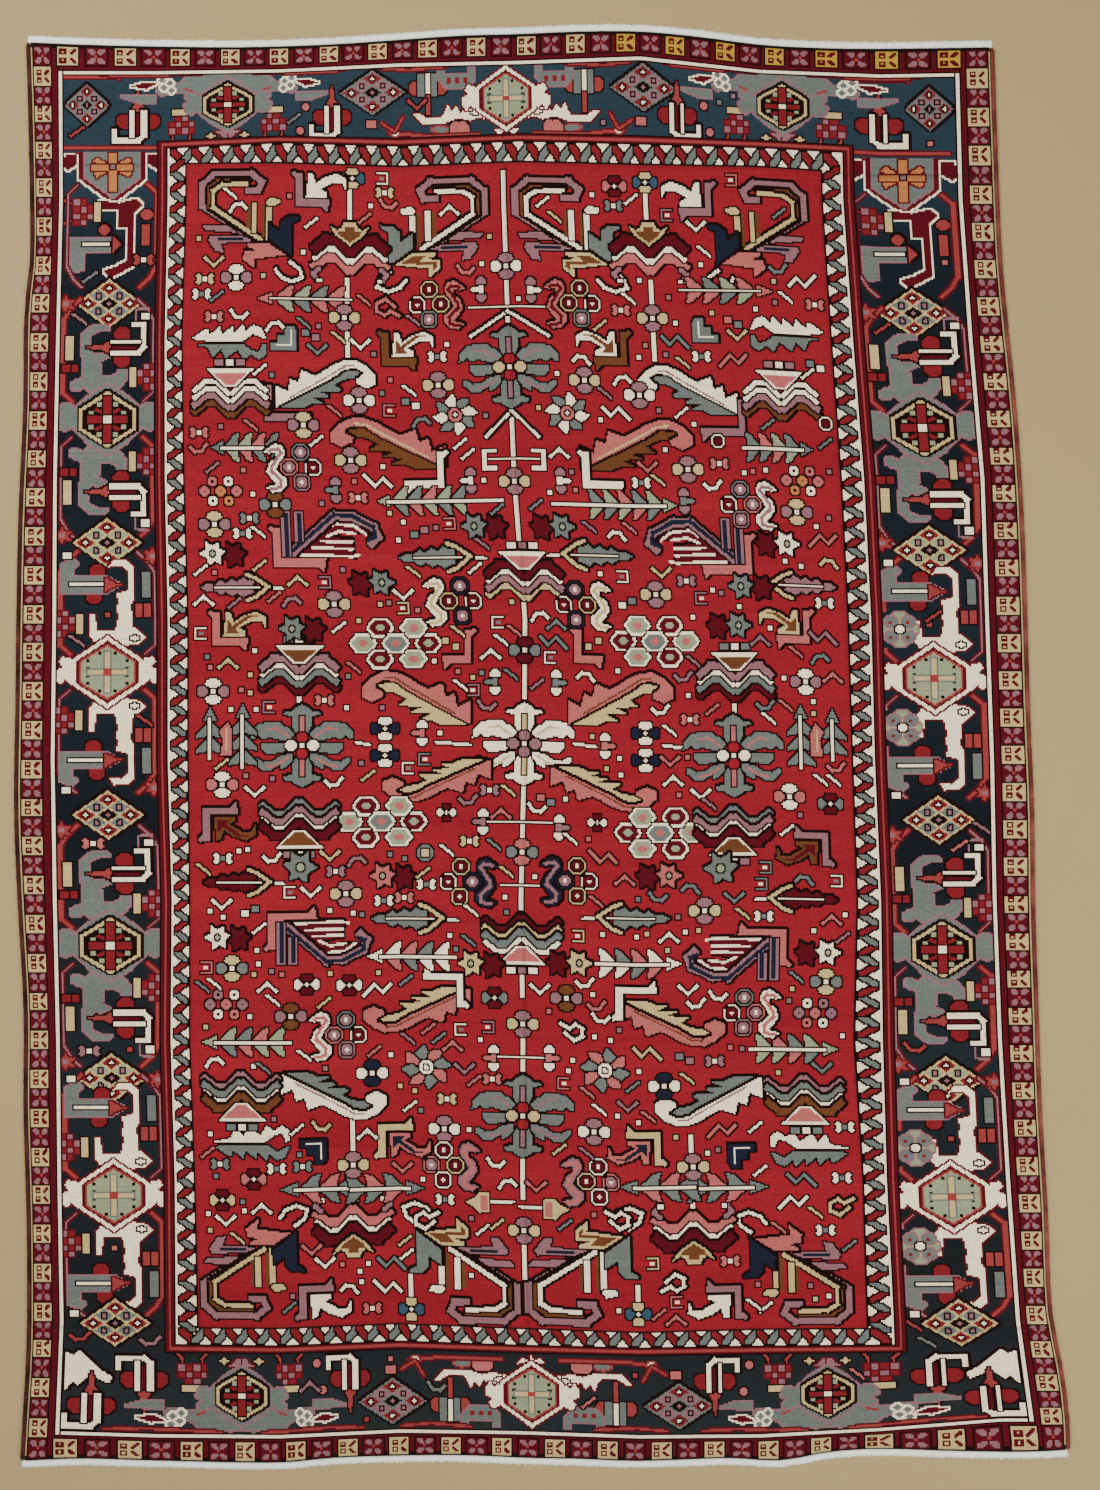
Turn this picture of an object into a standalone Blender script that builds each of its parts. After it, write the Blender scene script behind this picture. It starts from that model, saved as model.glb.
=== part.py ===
"""Hand-knotted room rug lying flat on the floor, about 2.6 m by 3.5 m.

The maker's pieces are the knotted rug itself, an overcast cord sewn along each
side, and a narrow woven strip with cut warp locks at each end. X runs across
the rug, Y along it and Z up. The origin is on the floor under the middle of
the rug's bounding box. Lengths are in metres.
"""
import random
from typing import NamedTuple

import bmesh
import bpy

COLLECTION = "persian_rug"

PILE_THICKNESS = 0.009
PILE_RIM = 0.0025
CORD_WIDTH = 0.012
CORD_THICKNESS = 0.008
CORD_RIM = 0.003
FRINGE_THICKNESS = 0.0025
SEAM_GAP = 0.0003

STEPS_PER_ROW = 3
LOCK_PITCH = 0.0172
LOCK_ROOT_SHARE = 0.56
LOCK_TIP_SHARE = 0.30
LOCK_LEAN_SHARE = 0.22
STRIP_SHARE = 0.42
SHORTEST_LOCK_SHARE = 0.62
LOCK_SEED = 7


class SideRow(NamedTuple):
    """Where the outer edges of the two side cords lie at one height."""

    y: float
    left: float
    right: float


class EndRow(NamedTuple):
    """Where the pile stops and the warp ends stop at one place across."""

    x: float
    pile: float
    tips: float


SIDES = (
    SideRow(y=1.700, left=-1.250, right=1.093),
    SideRow(y=1.540, left=-1.245, right=1.098),
    SideRow(y=1.300, left=-1.240, right=1.107),
    SideRow(y=1.170, left=-1.241, right=1.113),
    SideRow(y=1.050, left=-1.254, right=1.124),
    SideRow(y=0.810, left=-1.257, right=1.148),
    SideRow(y=0.570, left=-1.268, right=1.164),
    SideRow(y=0.330, left=-1.273, right=1.173),
    SideRow(y=0.090, left=-1.276, right=1.180),
    SideRow(y=-0.160, left=-1.279, right=1.190),
    SideRow(y=-0.400, left=-1.269, right=1.193),
    SideRow(y=-0.640, left=-1.256, right=1.201),
    SideRow(y=-0.880, left=-1.256, right=1.209),
    SideRow(y=-1.120, left=-1.249, right=1.223),
    SideRow(y=-1.370, left=-1.247, right=1.234),
    SideRow(y=-1.490, left=-1.250, right=1.257),
    SideRow(y=-1.610, left=-1.257, right=1.274),
    SideRow(y=-1.740, left=-1.265, right=1.279),
)

TOP_END = (
    EndRow(x=-1.250, pile=1.701, tips=1.716),
    EndRow(x=-1.070, pile=1.694, tips=1.714),
    EndRow(x=-0.780, pile=1.689, tips=1.709),
    EndRow(x=-0.635, pile=1.691, tips=1.710),
    EndRow(x=-0.490, pile=1.697, tips=1.717),
    EndRow(x=-0.345, pile=1.707, tips=1.728),
    EndRow(x=-0.200, pile=1.717, tips=1.734),
    EndRow(x=-0.055, pile=1.721, tips=1.738),
    EndRow(x=0.090, pile=1.727, tips=1.744),
    EndRow(x=0.236, pile=1.727, tips=1.744),
    EndRow(x=0.380, pile=1.714, tips=1.731),
    EndRow(x=0.526, pile=1.695, tips=1.718),
    EndRow(x=0.672, pile=1.687, tips=1.711),
    EndRow(x=0.817, pile=1.685, tips=1.709),
    EndRow(x=1.095, pile=1.689, tips=1.709),
)

BOTTOM_END = (
    EndRow(x=-1.265, pile=-1.728, tips=-1.741),
    EndRow(x=-1.119, pile=-1.722, tips=-1.739),
    EndRow(x=-0.940, pile=-1.727, tips=-1.742),
    EndRow(x=-0.635, pile=-1.732, tips=-1.744),
    EndRow(x=-0.514, pile=-1.721, tips=-1.735),
    EndRow(x=-0.393, pile=-1.716, tips=-1.733),
    EndRow(x=-0.200, pile=-1.714, tips=-1.728),
    EndRow(x=-0.030, pile=-1.721, tips=-1.738),
    EndRow(x=0.091, pile=-1.723, tips=-1.741),
    EndRow(x=0.212, pile=-1.728, tips=-1.744),
    EndRow(x=0.333, pile=-1.725, tips=-1.740),
    EndRow(x=0.454, pile=-1.721, tips=-1.735),
    EndRow(x=0.575, pile=-1.727, tips=-1.740),
    EndRow(x=0.696, pile=-1.706, tips=-1.720),
    EndRow(x=0.817, pile=-1.699, tips=-1.711),
    EndRow(x=1.000, pile=-1.704, tips=-1.717),
    EndRow(x=1.180, pile=-1.706, tips=-1.720),
    EndRow(x=1.290, pile=-1.700, tips=-1.713),
)


class Finish(NamedTuple):
    """Colour, roughness and metallic value of one sub-part."""

    name: str
    color: tuple
    roughness: float
    metallic: float = 0.0


PILE_FINISH = Finish("red_wool_pile", (0.42, 0.035, 0.045, 1.0), 0.92)
CORD_FINISH = Finish("maroon_overcast_wool", (0.075, 0.028, 0.030, 1.0), 0.88)
COTTON_FINISH = Finish("undyed_cotton", (0.66, 0.64, 0.52, 1.0), 0.90)


def at(rows, along, field, place):
    """Reads one column of a table at a place, on a smooth curve through its rows."""
    ordered = sorted(rows, key=lambda row: getattr(row, along))
    places = [getattr(row, along) for row in ordered]
    values = [getattr(row, field) for row in ordered]
    last = len(places) - 1
    place = min(max(place, places[0]), places[last])
    after = next(i for i in range(1, last + 1) if place <= places[i])
    before = after - 1

    def slope(i):
        low = max(i - 1, 0)
        high = min(i + 1, last)
        return (values[high] - values[low]) / (places[high] - places[low])

    run = places[after] - places[before]
    t = (place - places[before]) / run
    rise = values[after] - values[before]
    start_pull = slope(before) * run
    end_pull = slope(after) * run
    square = 3.0 * t * t - 2.0 * t ** 3
    return (
        values[before]
        + rise * square
        + start_pull * (t ** 3 - 2.0 * t * t + t)
        + end_pull * (t ** 3 - t * t)
    )


def side(field, y, inset=0.0):
    """Gives a point on the left or right edge, set inwards by inset."""
    inward = 1.0 if field == "left" else -1.0
    return (at(SIDES, "y", field, y) + inward * inset, y)


def corner_y(end, field, inset):
    """Finds the height at which an end's pile edge meets a side edge."""
    y = end[0].pile
    for _ in range(4):
        y = at(end, "x", "pile", side(field, y, inset)[0])
    return y


def spread(low, high, count):
    """Gives count + 1 even places from low to high."""
    return [low + (high - low) * i / count for i in range(count + 1)]


def side_path(field, inset, rising):
    """Runs along one side between the two pile edges."""
    low = corner_y(BOTTOM_END, field, inset)
    high = corner_y(TOP_END, field, inset)
    places = spread(low, high, STEPS_PER_ROW * (len(SIDES) - 1))
    if not rising:
        places.reverse()
    return [side(field, y, inset) for y in places]


def end_path(end, low, high):
    """Runs along one pile edge between two places across."""
    places = spread(low, high, STEPS_PER_ROW * (len(end) - 1))
    return [(x, at(end, "x", "pile", x)) for x in places]


def make_material(finish):
    """Makes a plain surface from a finish."""
    material = bpy.data.materials.new(finish.name)
    material.use_nodes = True
    shader = material.node_tree.nodes["Principled BSDF"]
    shader.inputs["Base Color"].default_value = finish.color
    shader.inputs["Roughness"].default_value = finish.roughness
    shader.inputs["Metallic"].default_value = finish.metallic
    material.diffuse_color = finish.color
    return material


def flat_piece(name, outline, thickness, rim, material, collection):
    """Raises an outline off the floor as one closed solid.

    The outline becomes a filled flat curve. A rim above zero rounds its upper
    and lower edges by that much, and leaves the outline's size as it is.
    """
    curve = bpy.data.curves.new(name, "CURVE")
    curve.dimensions = "2D"
    curve.fill_mode = "BOTH"
    curve.extrude = thickness / 2.0 - rim
    curve.bevel_depth = rim
    curve.bevel_resolution = 1
    curve.offset = -rim
    spline = curve.splines.new("POLY")
    spline.points.add(len(outline) - 1)
    for point, (x, y) in zip(spline.points, outline):
        point.co = (x, y, 0.0, 1.0)
    spline.use_cyclic_u = True
    drawn = bpy.data.objects.new(name + "_drawn", curve)
    drawn.location.z = thickness / 2.0
    collection.objects.link(drawn)
    bpy.context.view_layer.update()

    depsgraph = bpy.context.evaluated_depsgraph_get()
    mesh = bpy.data.meshes.new_from_object(drawn.evaluated_get(depsgraph))
    mesh.name = name
    work = bmesh.new()
    work.from_mesh(mesh)
    bmesh.ops.remove_doubles(work, verts=work.verts, dist=0.00002)
    bmesh.ops.recalc_face_normals(work, faces=work.faces)
    work.to_mesh(mesh)
    work.free()
    mesh.materials.clear()
    mesh.materials.append(material)

    piece = bpy.data.objects.new(name, mesh)
    piece.matrix_world = drawn.matrix_world.copy()
    collection.objects.link(piece)
    bpy.data.objects.remove(drawn)
    return piece


def body_outline():
    """Outlines the knotted rug inside the side cords."""
    inset = CORD_WIDTH + SEAM_GAP
    right = side_path("right", inset, rising=True)
    left = side_path("left", inset, rising=False)
    top = end_path(TOP_END, left[0][0], right[-1][0])
    bottom = end_path(BOTTOM_END, left[-1][0], right[0][0])
    return right + top[::-1][1:] + left[1:] + bottom[1:-1]


def cord_outline(field):
    """Outlines the overcast cord on one side."""
    outer = side_path(field, 0.0, rising=True)
    inner = side_path(field, CORD_WIDTH, rising=False)
    return outer + inner


def fringe_outline(end, low, high, away):
    """Outlines one end's woven strip with its cut locks.

    The strip follows the pile's edge. The locks stand on its outer side, each
    with its own length and lean, and taper to a blunt tip.

    low and high are the places across where the strip starts and stops, and
    away is 1 where the locks point along +Y and -1 where they point along -Y.
    """
    draw = random.Random(LOCK_SEED)
    inner = [(x, y + away * SEAM_GAP) for x, y in end_path(end, low, high)]
    count = int((high - low) / LOCK_PITCH)
    pitch = (high - low) / count
    outer = []
    for i in range(count):
        middle = low + pitch * (i + 0.5)
        pile = at(end, "x", "pile", middle)
        reach = at(end, "x", "tips", middle) - pile
        root_y = pile + reach * STRIP_SHARE
        length = draw.uniform(SHORTEST_LOCK_SHARE, 1.0)
        tip_y = root_y + reach * (1.0 - STRIP_SHARE) * length
        lean = pitch * LOCK_LEAN_SHARE * draw.uniform(-1.0, 1.0)
        root = pitch * LOCK_ROOT_SHARE / 2.0
        tip = pitch * LOCK_TIP_SHARE / 2.0 * draw.uniform(0.8, 1.2)
        outer += [
            (middle - root, root_y),
            (middle + lean - tip, tip_y),
            (middle + lean + tip, tip_y),
            (middle + root, root_y),
        ]
    return inner + outer[::-1]


def build():
    """Builds every sub-part of the rug."""
    for old in list(bpy.data.objects):
        bpy.data.objects.remove(old, do_unlink=True)
    collection = bpy.data.collections.new(COLLECTION)
    bpy.context.scene.collection.children.link(collection)

    pile = make_material(PILE_FINISH)
    cord = make_material(CORD_FINISH)
    cotton = make_material(COTTON_FINISH)

    flat_piece("rug_body", body_outline(), PILE_THICKNESS, PILE_RIM, pile, collection)
    for field in ("left", "right"):
        outline = cord_outline(field)
        flat_piece("side_cord_" + field, outline, CORD_THICKNESS, CORD_RIM, cord, collection)

    top_low = side("left", TOP_END[0].pile, CORD_WIDTH / 2.0)[0]
    top_high = side("right", TOP_END[-1].pile, CORD_WIDTH / 2.0)[0]
    outline = fringe_outline(TOP_END, top_low, top_high, 1.0)
    flat_piece("fringe_top", outline, FRINGE_THICKNESS, 0.0, cotton, collection)

    bottom_low = side("left", BOTTOM_END[0].pile, CORD_WIDTH / 2.0)[0]
    bottom_high = side("right", BOTTOM_END[-1].pile, CORD_WIDTH / 2.0)[0]
    outline = fringe_outline(BOTTOM_END, bottom_low, bottom_high, -1.0)
    flat_piece("fringe_bottom", outline, FRINGE_THICKNESS, 0.0, cotton, collection)


build()
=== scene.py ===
"""Looks of a hand-knotted room rug that lies flat, charted knot by knot.

The pattern is worked as a weaver works it, on a chart of knots: every band,
flower and leaf is drawn by a short function from sizes counted in knots.
The chart is then laid over the rug's own uneven outline, which comes from the
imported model. Lengths outside the chart are in metres, with X across the rug,
Y along it and Z up out of the pile.
"""
import logging
import math
import random
from dataclasses import dataclass, field
from enum import Enum, IntEnum
from typing import Callable, Iterable, NamedTuple, Sequence

import bpy
import numpy as np
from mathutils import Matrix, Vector


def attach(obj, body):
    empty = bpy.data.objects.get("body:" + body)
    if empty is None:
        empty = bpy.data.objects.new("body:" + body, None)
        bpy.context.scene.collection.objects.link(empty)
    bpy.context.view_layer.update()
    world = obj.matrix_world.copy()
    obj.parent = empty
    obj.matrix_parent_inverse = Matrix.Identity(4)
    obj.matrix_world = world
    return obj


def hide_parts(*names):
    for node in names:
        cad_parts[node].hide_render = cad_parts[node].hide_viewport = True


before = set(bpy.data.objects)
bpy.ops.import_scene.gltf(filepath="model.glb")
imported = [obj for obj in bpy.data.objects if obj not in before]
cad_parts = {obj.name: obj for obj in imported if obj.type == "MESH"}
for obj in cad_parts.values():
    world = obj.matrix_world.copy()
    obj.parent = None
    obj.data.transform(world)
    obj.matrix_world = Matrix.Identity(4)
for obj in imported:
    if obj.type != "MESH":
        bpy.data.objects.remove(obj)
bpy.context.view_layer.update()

logging.basicConfig(level=logging.INFO, format="%(message)s")
log = logging.getLogger("persian_rug")

Point = tuple[float, float]
Outline = Sequence[Point]

COLUMNS = 657
ROWS = 945
MIDDLE_COLUMN = 328
MIDDLE_ROW = 474


class Yarn(IntEnum):
    """Dyed wools that the knots are tied from."""

    RED = 0
    DARK = 1
    IVORY = 2
    CREAM = 3
    GOLD = 4
    LILAC = 5
    GREY = 6
    ROSE = 7
    NAVY = 8
    BLUE = 9
    MAROON = 10
    CORAL = 11
    GREEN = 12
    GROUND = 13
    BROWN = 14
    ORANGE = 15
    BRICK = 16


(RED, DARK, IVORY, CREAM, GOLD, LILAC, GREY, ROSE, NAVY,
 BLUE, MAROON, CORAL, GREEN, GROUND, BROWN, ORANGE, BRICK) = Yarn


def bar(left: float, low: float, right: float, high: float) -> Outline:
    """Gives the corners of an upright rectangle."""
    return ((left, low), (right, low), (right, high), (left, high))


def disc(x: float, y: float, radius: float, sides: int = 8) -> Outline:
    """Gives a small polygon about a point, flat side up."""
    turns = (2.0 * math.pi * (i + 0.5) / sides for i in range(sides))
    return tuple((x + radius * math.cos(t), y + radius * math.sin(t)) for t in turns)


def diamond(x: float, y: float, half_wide: float, half_high: float) -> Outline:
    """Gives a lozenge about a point."""
    return ((x - half_wide, y), (x, y - half_high), (x + half_wide, y), (x, y + half_high))


def hexagon(x: float, y: float, half_wide: float, half_high: float) -> Outline:
    """Gives a six-sided cell with flat top and bottom."""
    half = half_wide / 2
    return ((x - half_wide, y), (x - half, y - half_high), (x + half, y - half_high),
            (x + half_wide, y), (x + half, y + half_high), (x - half, y + half_high))


def peaked(half_wide: float, half_high: float, shoulder: float) -> Outline:
    """Gives a six-sided cell with a point at top and bottom."""
    return ((-half_wide, -shoulder), (0, -half_high), (half_wide, -shoulder),
            (half_wide, shoulder), (0, half_high), (-half_wide, shoulder))


def stroke(path: Outline, width: float) -> list[Outline]:
    """Widens a path into one four-cornered piece for each of its runs."""
    pieces = []
    for (x0, y0), (x1, y1) in zip(path, path[1:]):
        run = math.hypot(x1 - x0, y1 - y0)
        dx = (x1 - x0) / run * width / 2.0
        dy = (y1 - y0) / run * width / 2.0
        pieces.append((
            (x0 - dx - dy, y0 - dy + dx), (x1 + dx - dy, y1 + dy + dx),
            (x1 + dx + dy, y1 + dy - dx), (x0 - dx + dy, y0 - dy - dx),
        ))
    return pieces


class Chart:
    """Every knot of the rug, one yarn each, rows counted from the bottom."""

    NUDGE_ACROSS = 0.013
    NUDGE_ALONG = 0.017
    HEAVY_FROM = 17
    HEAVY_TO = 200

    def __init__(self) -> None:
        """Starts with plain red all over."""
        self.knots = np.full((ROWS, COLUMNS), int(RED), np.uint8)

    def tie(self, yarn: Yarn, outlines: Iterable[np.ndarray], edge: Yarn | None) -> None:
        """Ties the knots inside some outlines, with a row of edging round them.

        Args:
            yarn: The wool of the shape.
            outlines: Corner arrays in chart units, joined into one shape.
            edge: The wool of the row of knots round it, or None for none.
        """
        outlines = list(outlines)
        corners = np.concatenate(outlines)
        low = np.floor(corners.min(0)).astype(int) - 1
        high = np.ceil(corners.max(0)).astype(int) + 2
        low = np.maximum(low, (-MIDDLE_COLUMN, -MIDDLE_ROW))
        high = np.minimum(high, (COLUMNS - MIDDLE_COLUMN, ROWS - MIDDLE_ROW))
        if (high <= low).any():
            return
        across = np.arange(low[0], high[0])[None, :] + self.NUDGE_ACROSS
        along = np.arange(low[1], high[1])[:, None] + self.NUDGE_ALONG
        inside = np.zeros((high[1] - low[1], high[0] - low[0]), bool)
        for outline in outlines:
            crossed = np.zeros_like(inside)
            ends = np.roll(outline, -1, axis=0)
            for (x0, y0), (x1, y1) in zip(outline, ends):
                if y0 == y1:
                    continue
                spans = (y0 > along) != (y1 > along)
                crossed ^= spans & (across < (x1 - x0) * (along - y0) / (y1 - y0) + x0)
            inside |= crossed
        rows = slice(low[1] + MIDDLE_ROW, high[1] + MIDDLE_ROW)
        columns = slice(low[0] + MIDDLE_COLUMN, high[0] + MIDDLE_COLUMN)
        part = self.knots[rows, columns]
        if edge is not None:
            round_it = inside.copy()
            round_it[1:] |= inside[:-1]
            round_it[:-1] |= inside[1:]
            wide = round_it.copy()
            round_it[:, 1:] |= wide[:, :-1]
            round_it[:, :-1] |= wide[:, 1:]
            is_large = min(inside.shape) > self.HEAVY_FROM and max(inside.shape) < self.HEAVY_TO
            if edge is DARK and is_large:
                wide = round_it.copy()
                round_it[:, 1:] |= wide[:, :-1]
                round_it[1:] |= wide[:-1]
            part[round_it] = edge
        part[inside] = yarn

    def is_plain(self, yarn: Yarn, x: int, y: int, wide: int, high: int) -> bool:
        """Tells whether a patch is still all of one yarn.

        Args:
            yarn: That yarn.
            x: The patch's middle in knots across.
            y: Its middle in knots along.
            wide: Half its width.
            high: Half its height.

        Returns:
            True where nothing has been drawn on it.
        """
        patch = self.knots[y - high + MIDDLE_ROW:y + high + MIDDLE_ROW + 1,
                           x - wide + MIDDLE_COLUMN:x + wide + MIDDLE_COLUMN + 1]
        return bool((patch == yarn).all())


@dataclass(frozen=True)
class Pen:
    """Draws on the chart about a place, turned, mirrored or sized as set."""

    chart: Chart
    x: float = 0.0
    y: float = 0.0
    across: float = 1.0
    along: float = 1.0
    quarter: int = 0

    def at(self, x: float, y: float, across: float = 1.0, along: float = 1.0, quarter: int = 0) -> "Pen":
        """Moves to a place given in this pen's own units.

        Args:
            x: Knots to the right.
            y: Knots up.
            across: Factor on widths, negative to mirror left and right.
            along: Factor on heights, negative to mirror up and down.
            quarter: Quarter turns anticlockwise of what is drawn there.

        Returns:
            The moved pen.
        """
        place = self.corners(((x, y),))[0]
        if self.quarter % 2:
            across, along = along, across
        return Pen(self.chart, float(place[0]), float(place[1]),
                   self.across * across, self.along * along, self.quarter + quarter)

    def corners(self, outline: Outline) -> np.ndarray:
        """Gives an outline's corners in chart units."""
        points = np.array(outline, float)
        for _ in range(self.quarter % 4):
            points = np.stack((-points[:, 1], points[:, 0]), axis=1)
        return points * (self.across, self.along) + (self.x, self.y)

    def fill(self, yarn: Yarn, *outlines: Outline, edge: Yarn | None = DARK) -> None:
        """Fills outlines as one shape."""
        self.chart.tie(yarn, [self.corners(o) for o in outlines], edge)

    def lay(self, yarn: Yarn, *outlines: Outline) -> None:
        """Fills outlines as one shape with no edging."""
        self.fill(yarn, *outlines, edge=None)

    def pair(self, yarn: Yarn, *outlines: Outline, edge: Yarn | None = DARK) -> None:
        """Fills outlines and their mirror images left and right of this place."""
        mirrored = [tuple((-x, y) for x, y in o) for o in outlines]
        self.fill(yarn, *outlines, *mirrored, edge=edge)

    def four(self, yarn: Yarn, *outlines: Outline, edge: Yarn | None = DARK) -> None:
        """Fills outlines in all four mirror images about this place."""
        below = [tuple((x, -y) for x, y in o) for o in outlines]
        self.pair(yarn, *outlines, *below, edge=edge)

    def line(self, yarn: Yarn, path: Outline, width: float = 2.0, edge: Yarn | None = DARK) -> None:
        """Draws a path of some width."""
        self.fill(yarn, *stroke(path, width), edge=edge)

    def pair_line(self, yarn: Yarn, path: Outline, width: float = 2.0, edge: Yarn | None = DARK) -> None:
        """Draws a path and its mirror image left and right."""
        self.pair(yarn, *stroke(path, width), edge=edge)


def rosette(pen: Pen, sides: Yarn, ends: Yarn) -> None:
    """Draws a small flower of four round petals."""
    pen.pair(sides, disc(7, 0, 4.3))
    pen.four(ends, ((0, 1.6), (2.8, 2.4), (5.2, 4.8), (4.2, 7.8), (0, 8.4)))
    pen.line(DARK, ((-3.4, -3), (3.4, 3)), 1.4, None)
    pen.line(DARK, ((-3.4, 3), (3.4, -3)), 1.4, None)
    pen.fill(IVORY, disc(0, 0, 1.6))


def floret(pen: Pen, petals: Yarn, heart: Yarn = IVORY) -> None:
    """Draws a bud of three petals that opens to the right."""
    pen.fill(petals, disc(1, 5, 3.6))
    pen.fill(petals, disc(1, -5, 3.6))
    pen.fill(heart, ((-1, -2.4), (6, -1.6), (9, 0), (6, 1.6), (-1, 2.4)))


def ring(pen: Pen, band: Yarn, heart: Yarn) -> None:
    """Draws a round bud with a ring in another colour."""
    pen.fill(band, disc(0, 0, 5))
    pen.fill(heart, disc(0, 0, 2.6))


def nine_dots(pen: Pen, first: Yarn, second: Yarn) -> None:
    """Draws a bed of seven little square flowers."""
    for x, y, yarn in ((-11, 0, first), (0, 0, second), (11, 0, first), (-5.5, 6.5, IVORY),
                       (5.5, 6.5, first), (-5.5, -6.5, second), (5.5, -6.5, IVORY)):
        pen.fill(yarn, disc(x, y, 3.6))
        pen.lay(DARK, disc(x, y, 1))


def star(pen: Pen, yarn: Yarn, heart: Yarn | None = None) -> None:
    """Draws a small ragged star."""
    pen.fill(yarn, ((-9, 0), (-4, 3), (-4, 8), (0, 5), (5, 8), (5, 3), (9, 2), (5, -2), (6, -7), (1, -5),
            (-3, -8), (-4, -3)))
    if heart is not None:
        pen.fill(heart, disc(0, 0, 1.8))


def twin_stars(pen: Pen, first: Yarn, second: Yarn) -> None:
    """Draws a pale star with a darker one behind its right side."""
    star(pen.at(9, -0.5), second)
    star(pen.at(-5, 0.5), first, GREEN)


def seven_hexagons(pen: Pen, petals: Yarn, hearts: Yarn, middle: Yarn) -> None:
    """Draws a honeycomb flower of seven six-sided cells."""
    cells = ((-22, 0, MAROON), (22, 0, petals), (-12, 10.2, petals), (10.5, 10.4, MAROON),
             (-12, -10.4, petals), (10.5, -10.6, MAROON), (0, 0, middle))
    for x, y, yarn in cells:
        pen.fill(IVORY, hexagon(x, y, 9.6, 6.4))
        pen.lay(yarn, hexagon(x, y, 7.8, 5))
        heart = GREEN if yarn is MAROON else hearts
        pen.lay(heart, hexagon(x, y, 3.6, 2.2))


def stem(pen: Pen, high: float, low: float) -> None:
    """Draws an upright pale stem between two heights."""
    pen.line(IVORY, ((0, low), (0, high)), 2.2)


def big_flower(pen: Pen, petals: Yarn, heart: Yarn, cross: Yarn, tips: Yarn) -> None:
    """Draws a large open flower with ragged petals, two upright and six sideways."""
    top = ((4, 8), (6.5, 13), (6.5, 19), (13, 21), (11, 23), (7, 23), (5, 25), (0, 27.5))
    pen.fill(petals, top + tuple((-x, y) for x, y in reversed(top)))
    pen.fill(petals, tuple((x, -y) for x, y in top) + tuple((-x, -y) for x, y in reversed(top)))
    pen.pair(petals, ((5, 7), (10, 13), (12, 12.5), (15, 15.5), (18, 16), (29, 14.5), (34, 10), (35, 4),
            (32, 5), (29, 7), (27, 4.4), (21, 5.5), (15, 3.8), (10, 3)))
    pen.pair(petals, ((11, 1.6), (27, 1.2), (27.5, -1.6), (24, -5), (21, -5.6), (12, -4)))
    pen.pair(petals, ((6, -5), (15, -7), (20, -10.5), (26, -11), (30, -8.6), (33, -8), (32, -12),
            (27, -16), (21, -16), (15, -12.5), (14, -15.5), (9, -13), (6, -9)))
    for slant in (((9, 6), (17, 11.5), (24, 11)), ((9, -8), (18, -13), (24, -14))):
        pen.pair_line(tips, slant, 1.4, None)
    pen.fill(tips, bar(-1.2, 9, 1.2, 20), bar(-1.2, -20, 1.2, -9))
    pen.fill(heart, disc(0, 5.4, 3.8), disc(0, -5.4, 3.8))
    pen.pair(cross, disc(7.4, 0, 4))
    pen.fill(IVORY, disc(0, 0, 1.6))


def wings(pen: Pen, layers: Sequence[Yarn], step: float) -> None:
    """Draws a pair of wings in arched layers, the first one on top."""
    for i, yarn in reversed(list(enumerate(layers))):
        d = -i * step
        thick = step * (0.62 if yarn is IVORY else 1)
        pen.pair_line(yarn, ((1.5, -6 + d), (9, 1.4 + d), (17, 2 + d), (24.5, -4 + d)), thick)


def palmette(pen: Pen, layers: Sequence[Yarn], base: Yarn, dots: Sequence[Yarn]) -> None:
    """Draws a palmette: a row of squares and a trapezoid over layered wings.

    Args:
        pen: The pen, at the foot of the trapezoid.
        layers: Wools of the wings from the top down.
        base: The wool of the trapezoid.
        dots: Wools of the squares along the top.
    """
    wings(pen, layers, 4.6)
    pen.fill(IVORY, ((-17, 10.4), (16, 10.4), (13, 7.4), (3.4, -1.6), (-3.4, -1.6), (-13, 7.4)))
    pen.lay(base, ((-13, 8), (13, 8), (2.6, -0.6), (-2.6, -0.6)))
    for i, yarn in enumerate(dots):
        x = (i - (len(dots) - 1) / 2) * 7.6
        pen.fill(yarn, bar(x - 2.7, 12.6, x + 2.7, 16.8))


def crown_palmette(pen: Pen, upper: Yarn, middle: Yarn, lower: Yarn) -> None:
    """Draws a palmette with a small crown over layered wings, on a stem."""
    wings(pen, (upper, IVORY, lower), 6)
    crown = ((0, -2), (10, 5), (14, 11), (9.6, 8.6), (5.4, 9.4), (4.6, 13.4), (-4.6, 13.4),
             (-5.4, 9.4), (-9.6, 8.6), (-14, 11), (-10, 5))
    pen.fill(CREAM, crown)
    pen.lay(middle, tuple((x * 0.72, y * 0.72 + 1.2) for x, y in crown))
    pen.pair_line(LILAC, ((22, -18), (26, -21), (23, -25)), 3)
    pen.pair(IVORY, bar(19.6, -26.4, 23, -24))


def feather(pen: Pen, yarn: Yarn) -> None:
    """Draws a leaf with a pale midrib and ragged edges that grows to the right."""
    length = 36
    teeth = 4
    step = length / teeth
    edge = [(0, 1)]
    for i in range(teeth):
        reach = 8.5 - 1 * i
        edge += [(i * step - 1, reach), (i * step + step * 0.42, reach - 3.6)]
    edge += [(length, 3), (length + 6, 0)]
    pen.fill(yarn, edge + [(x, -y) for x, y in reversed(edge)])
    pen.line(IVORY, ((2, 0), (length * 0.78, 0)), 1.8)


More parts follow.
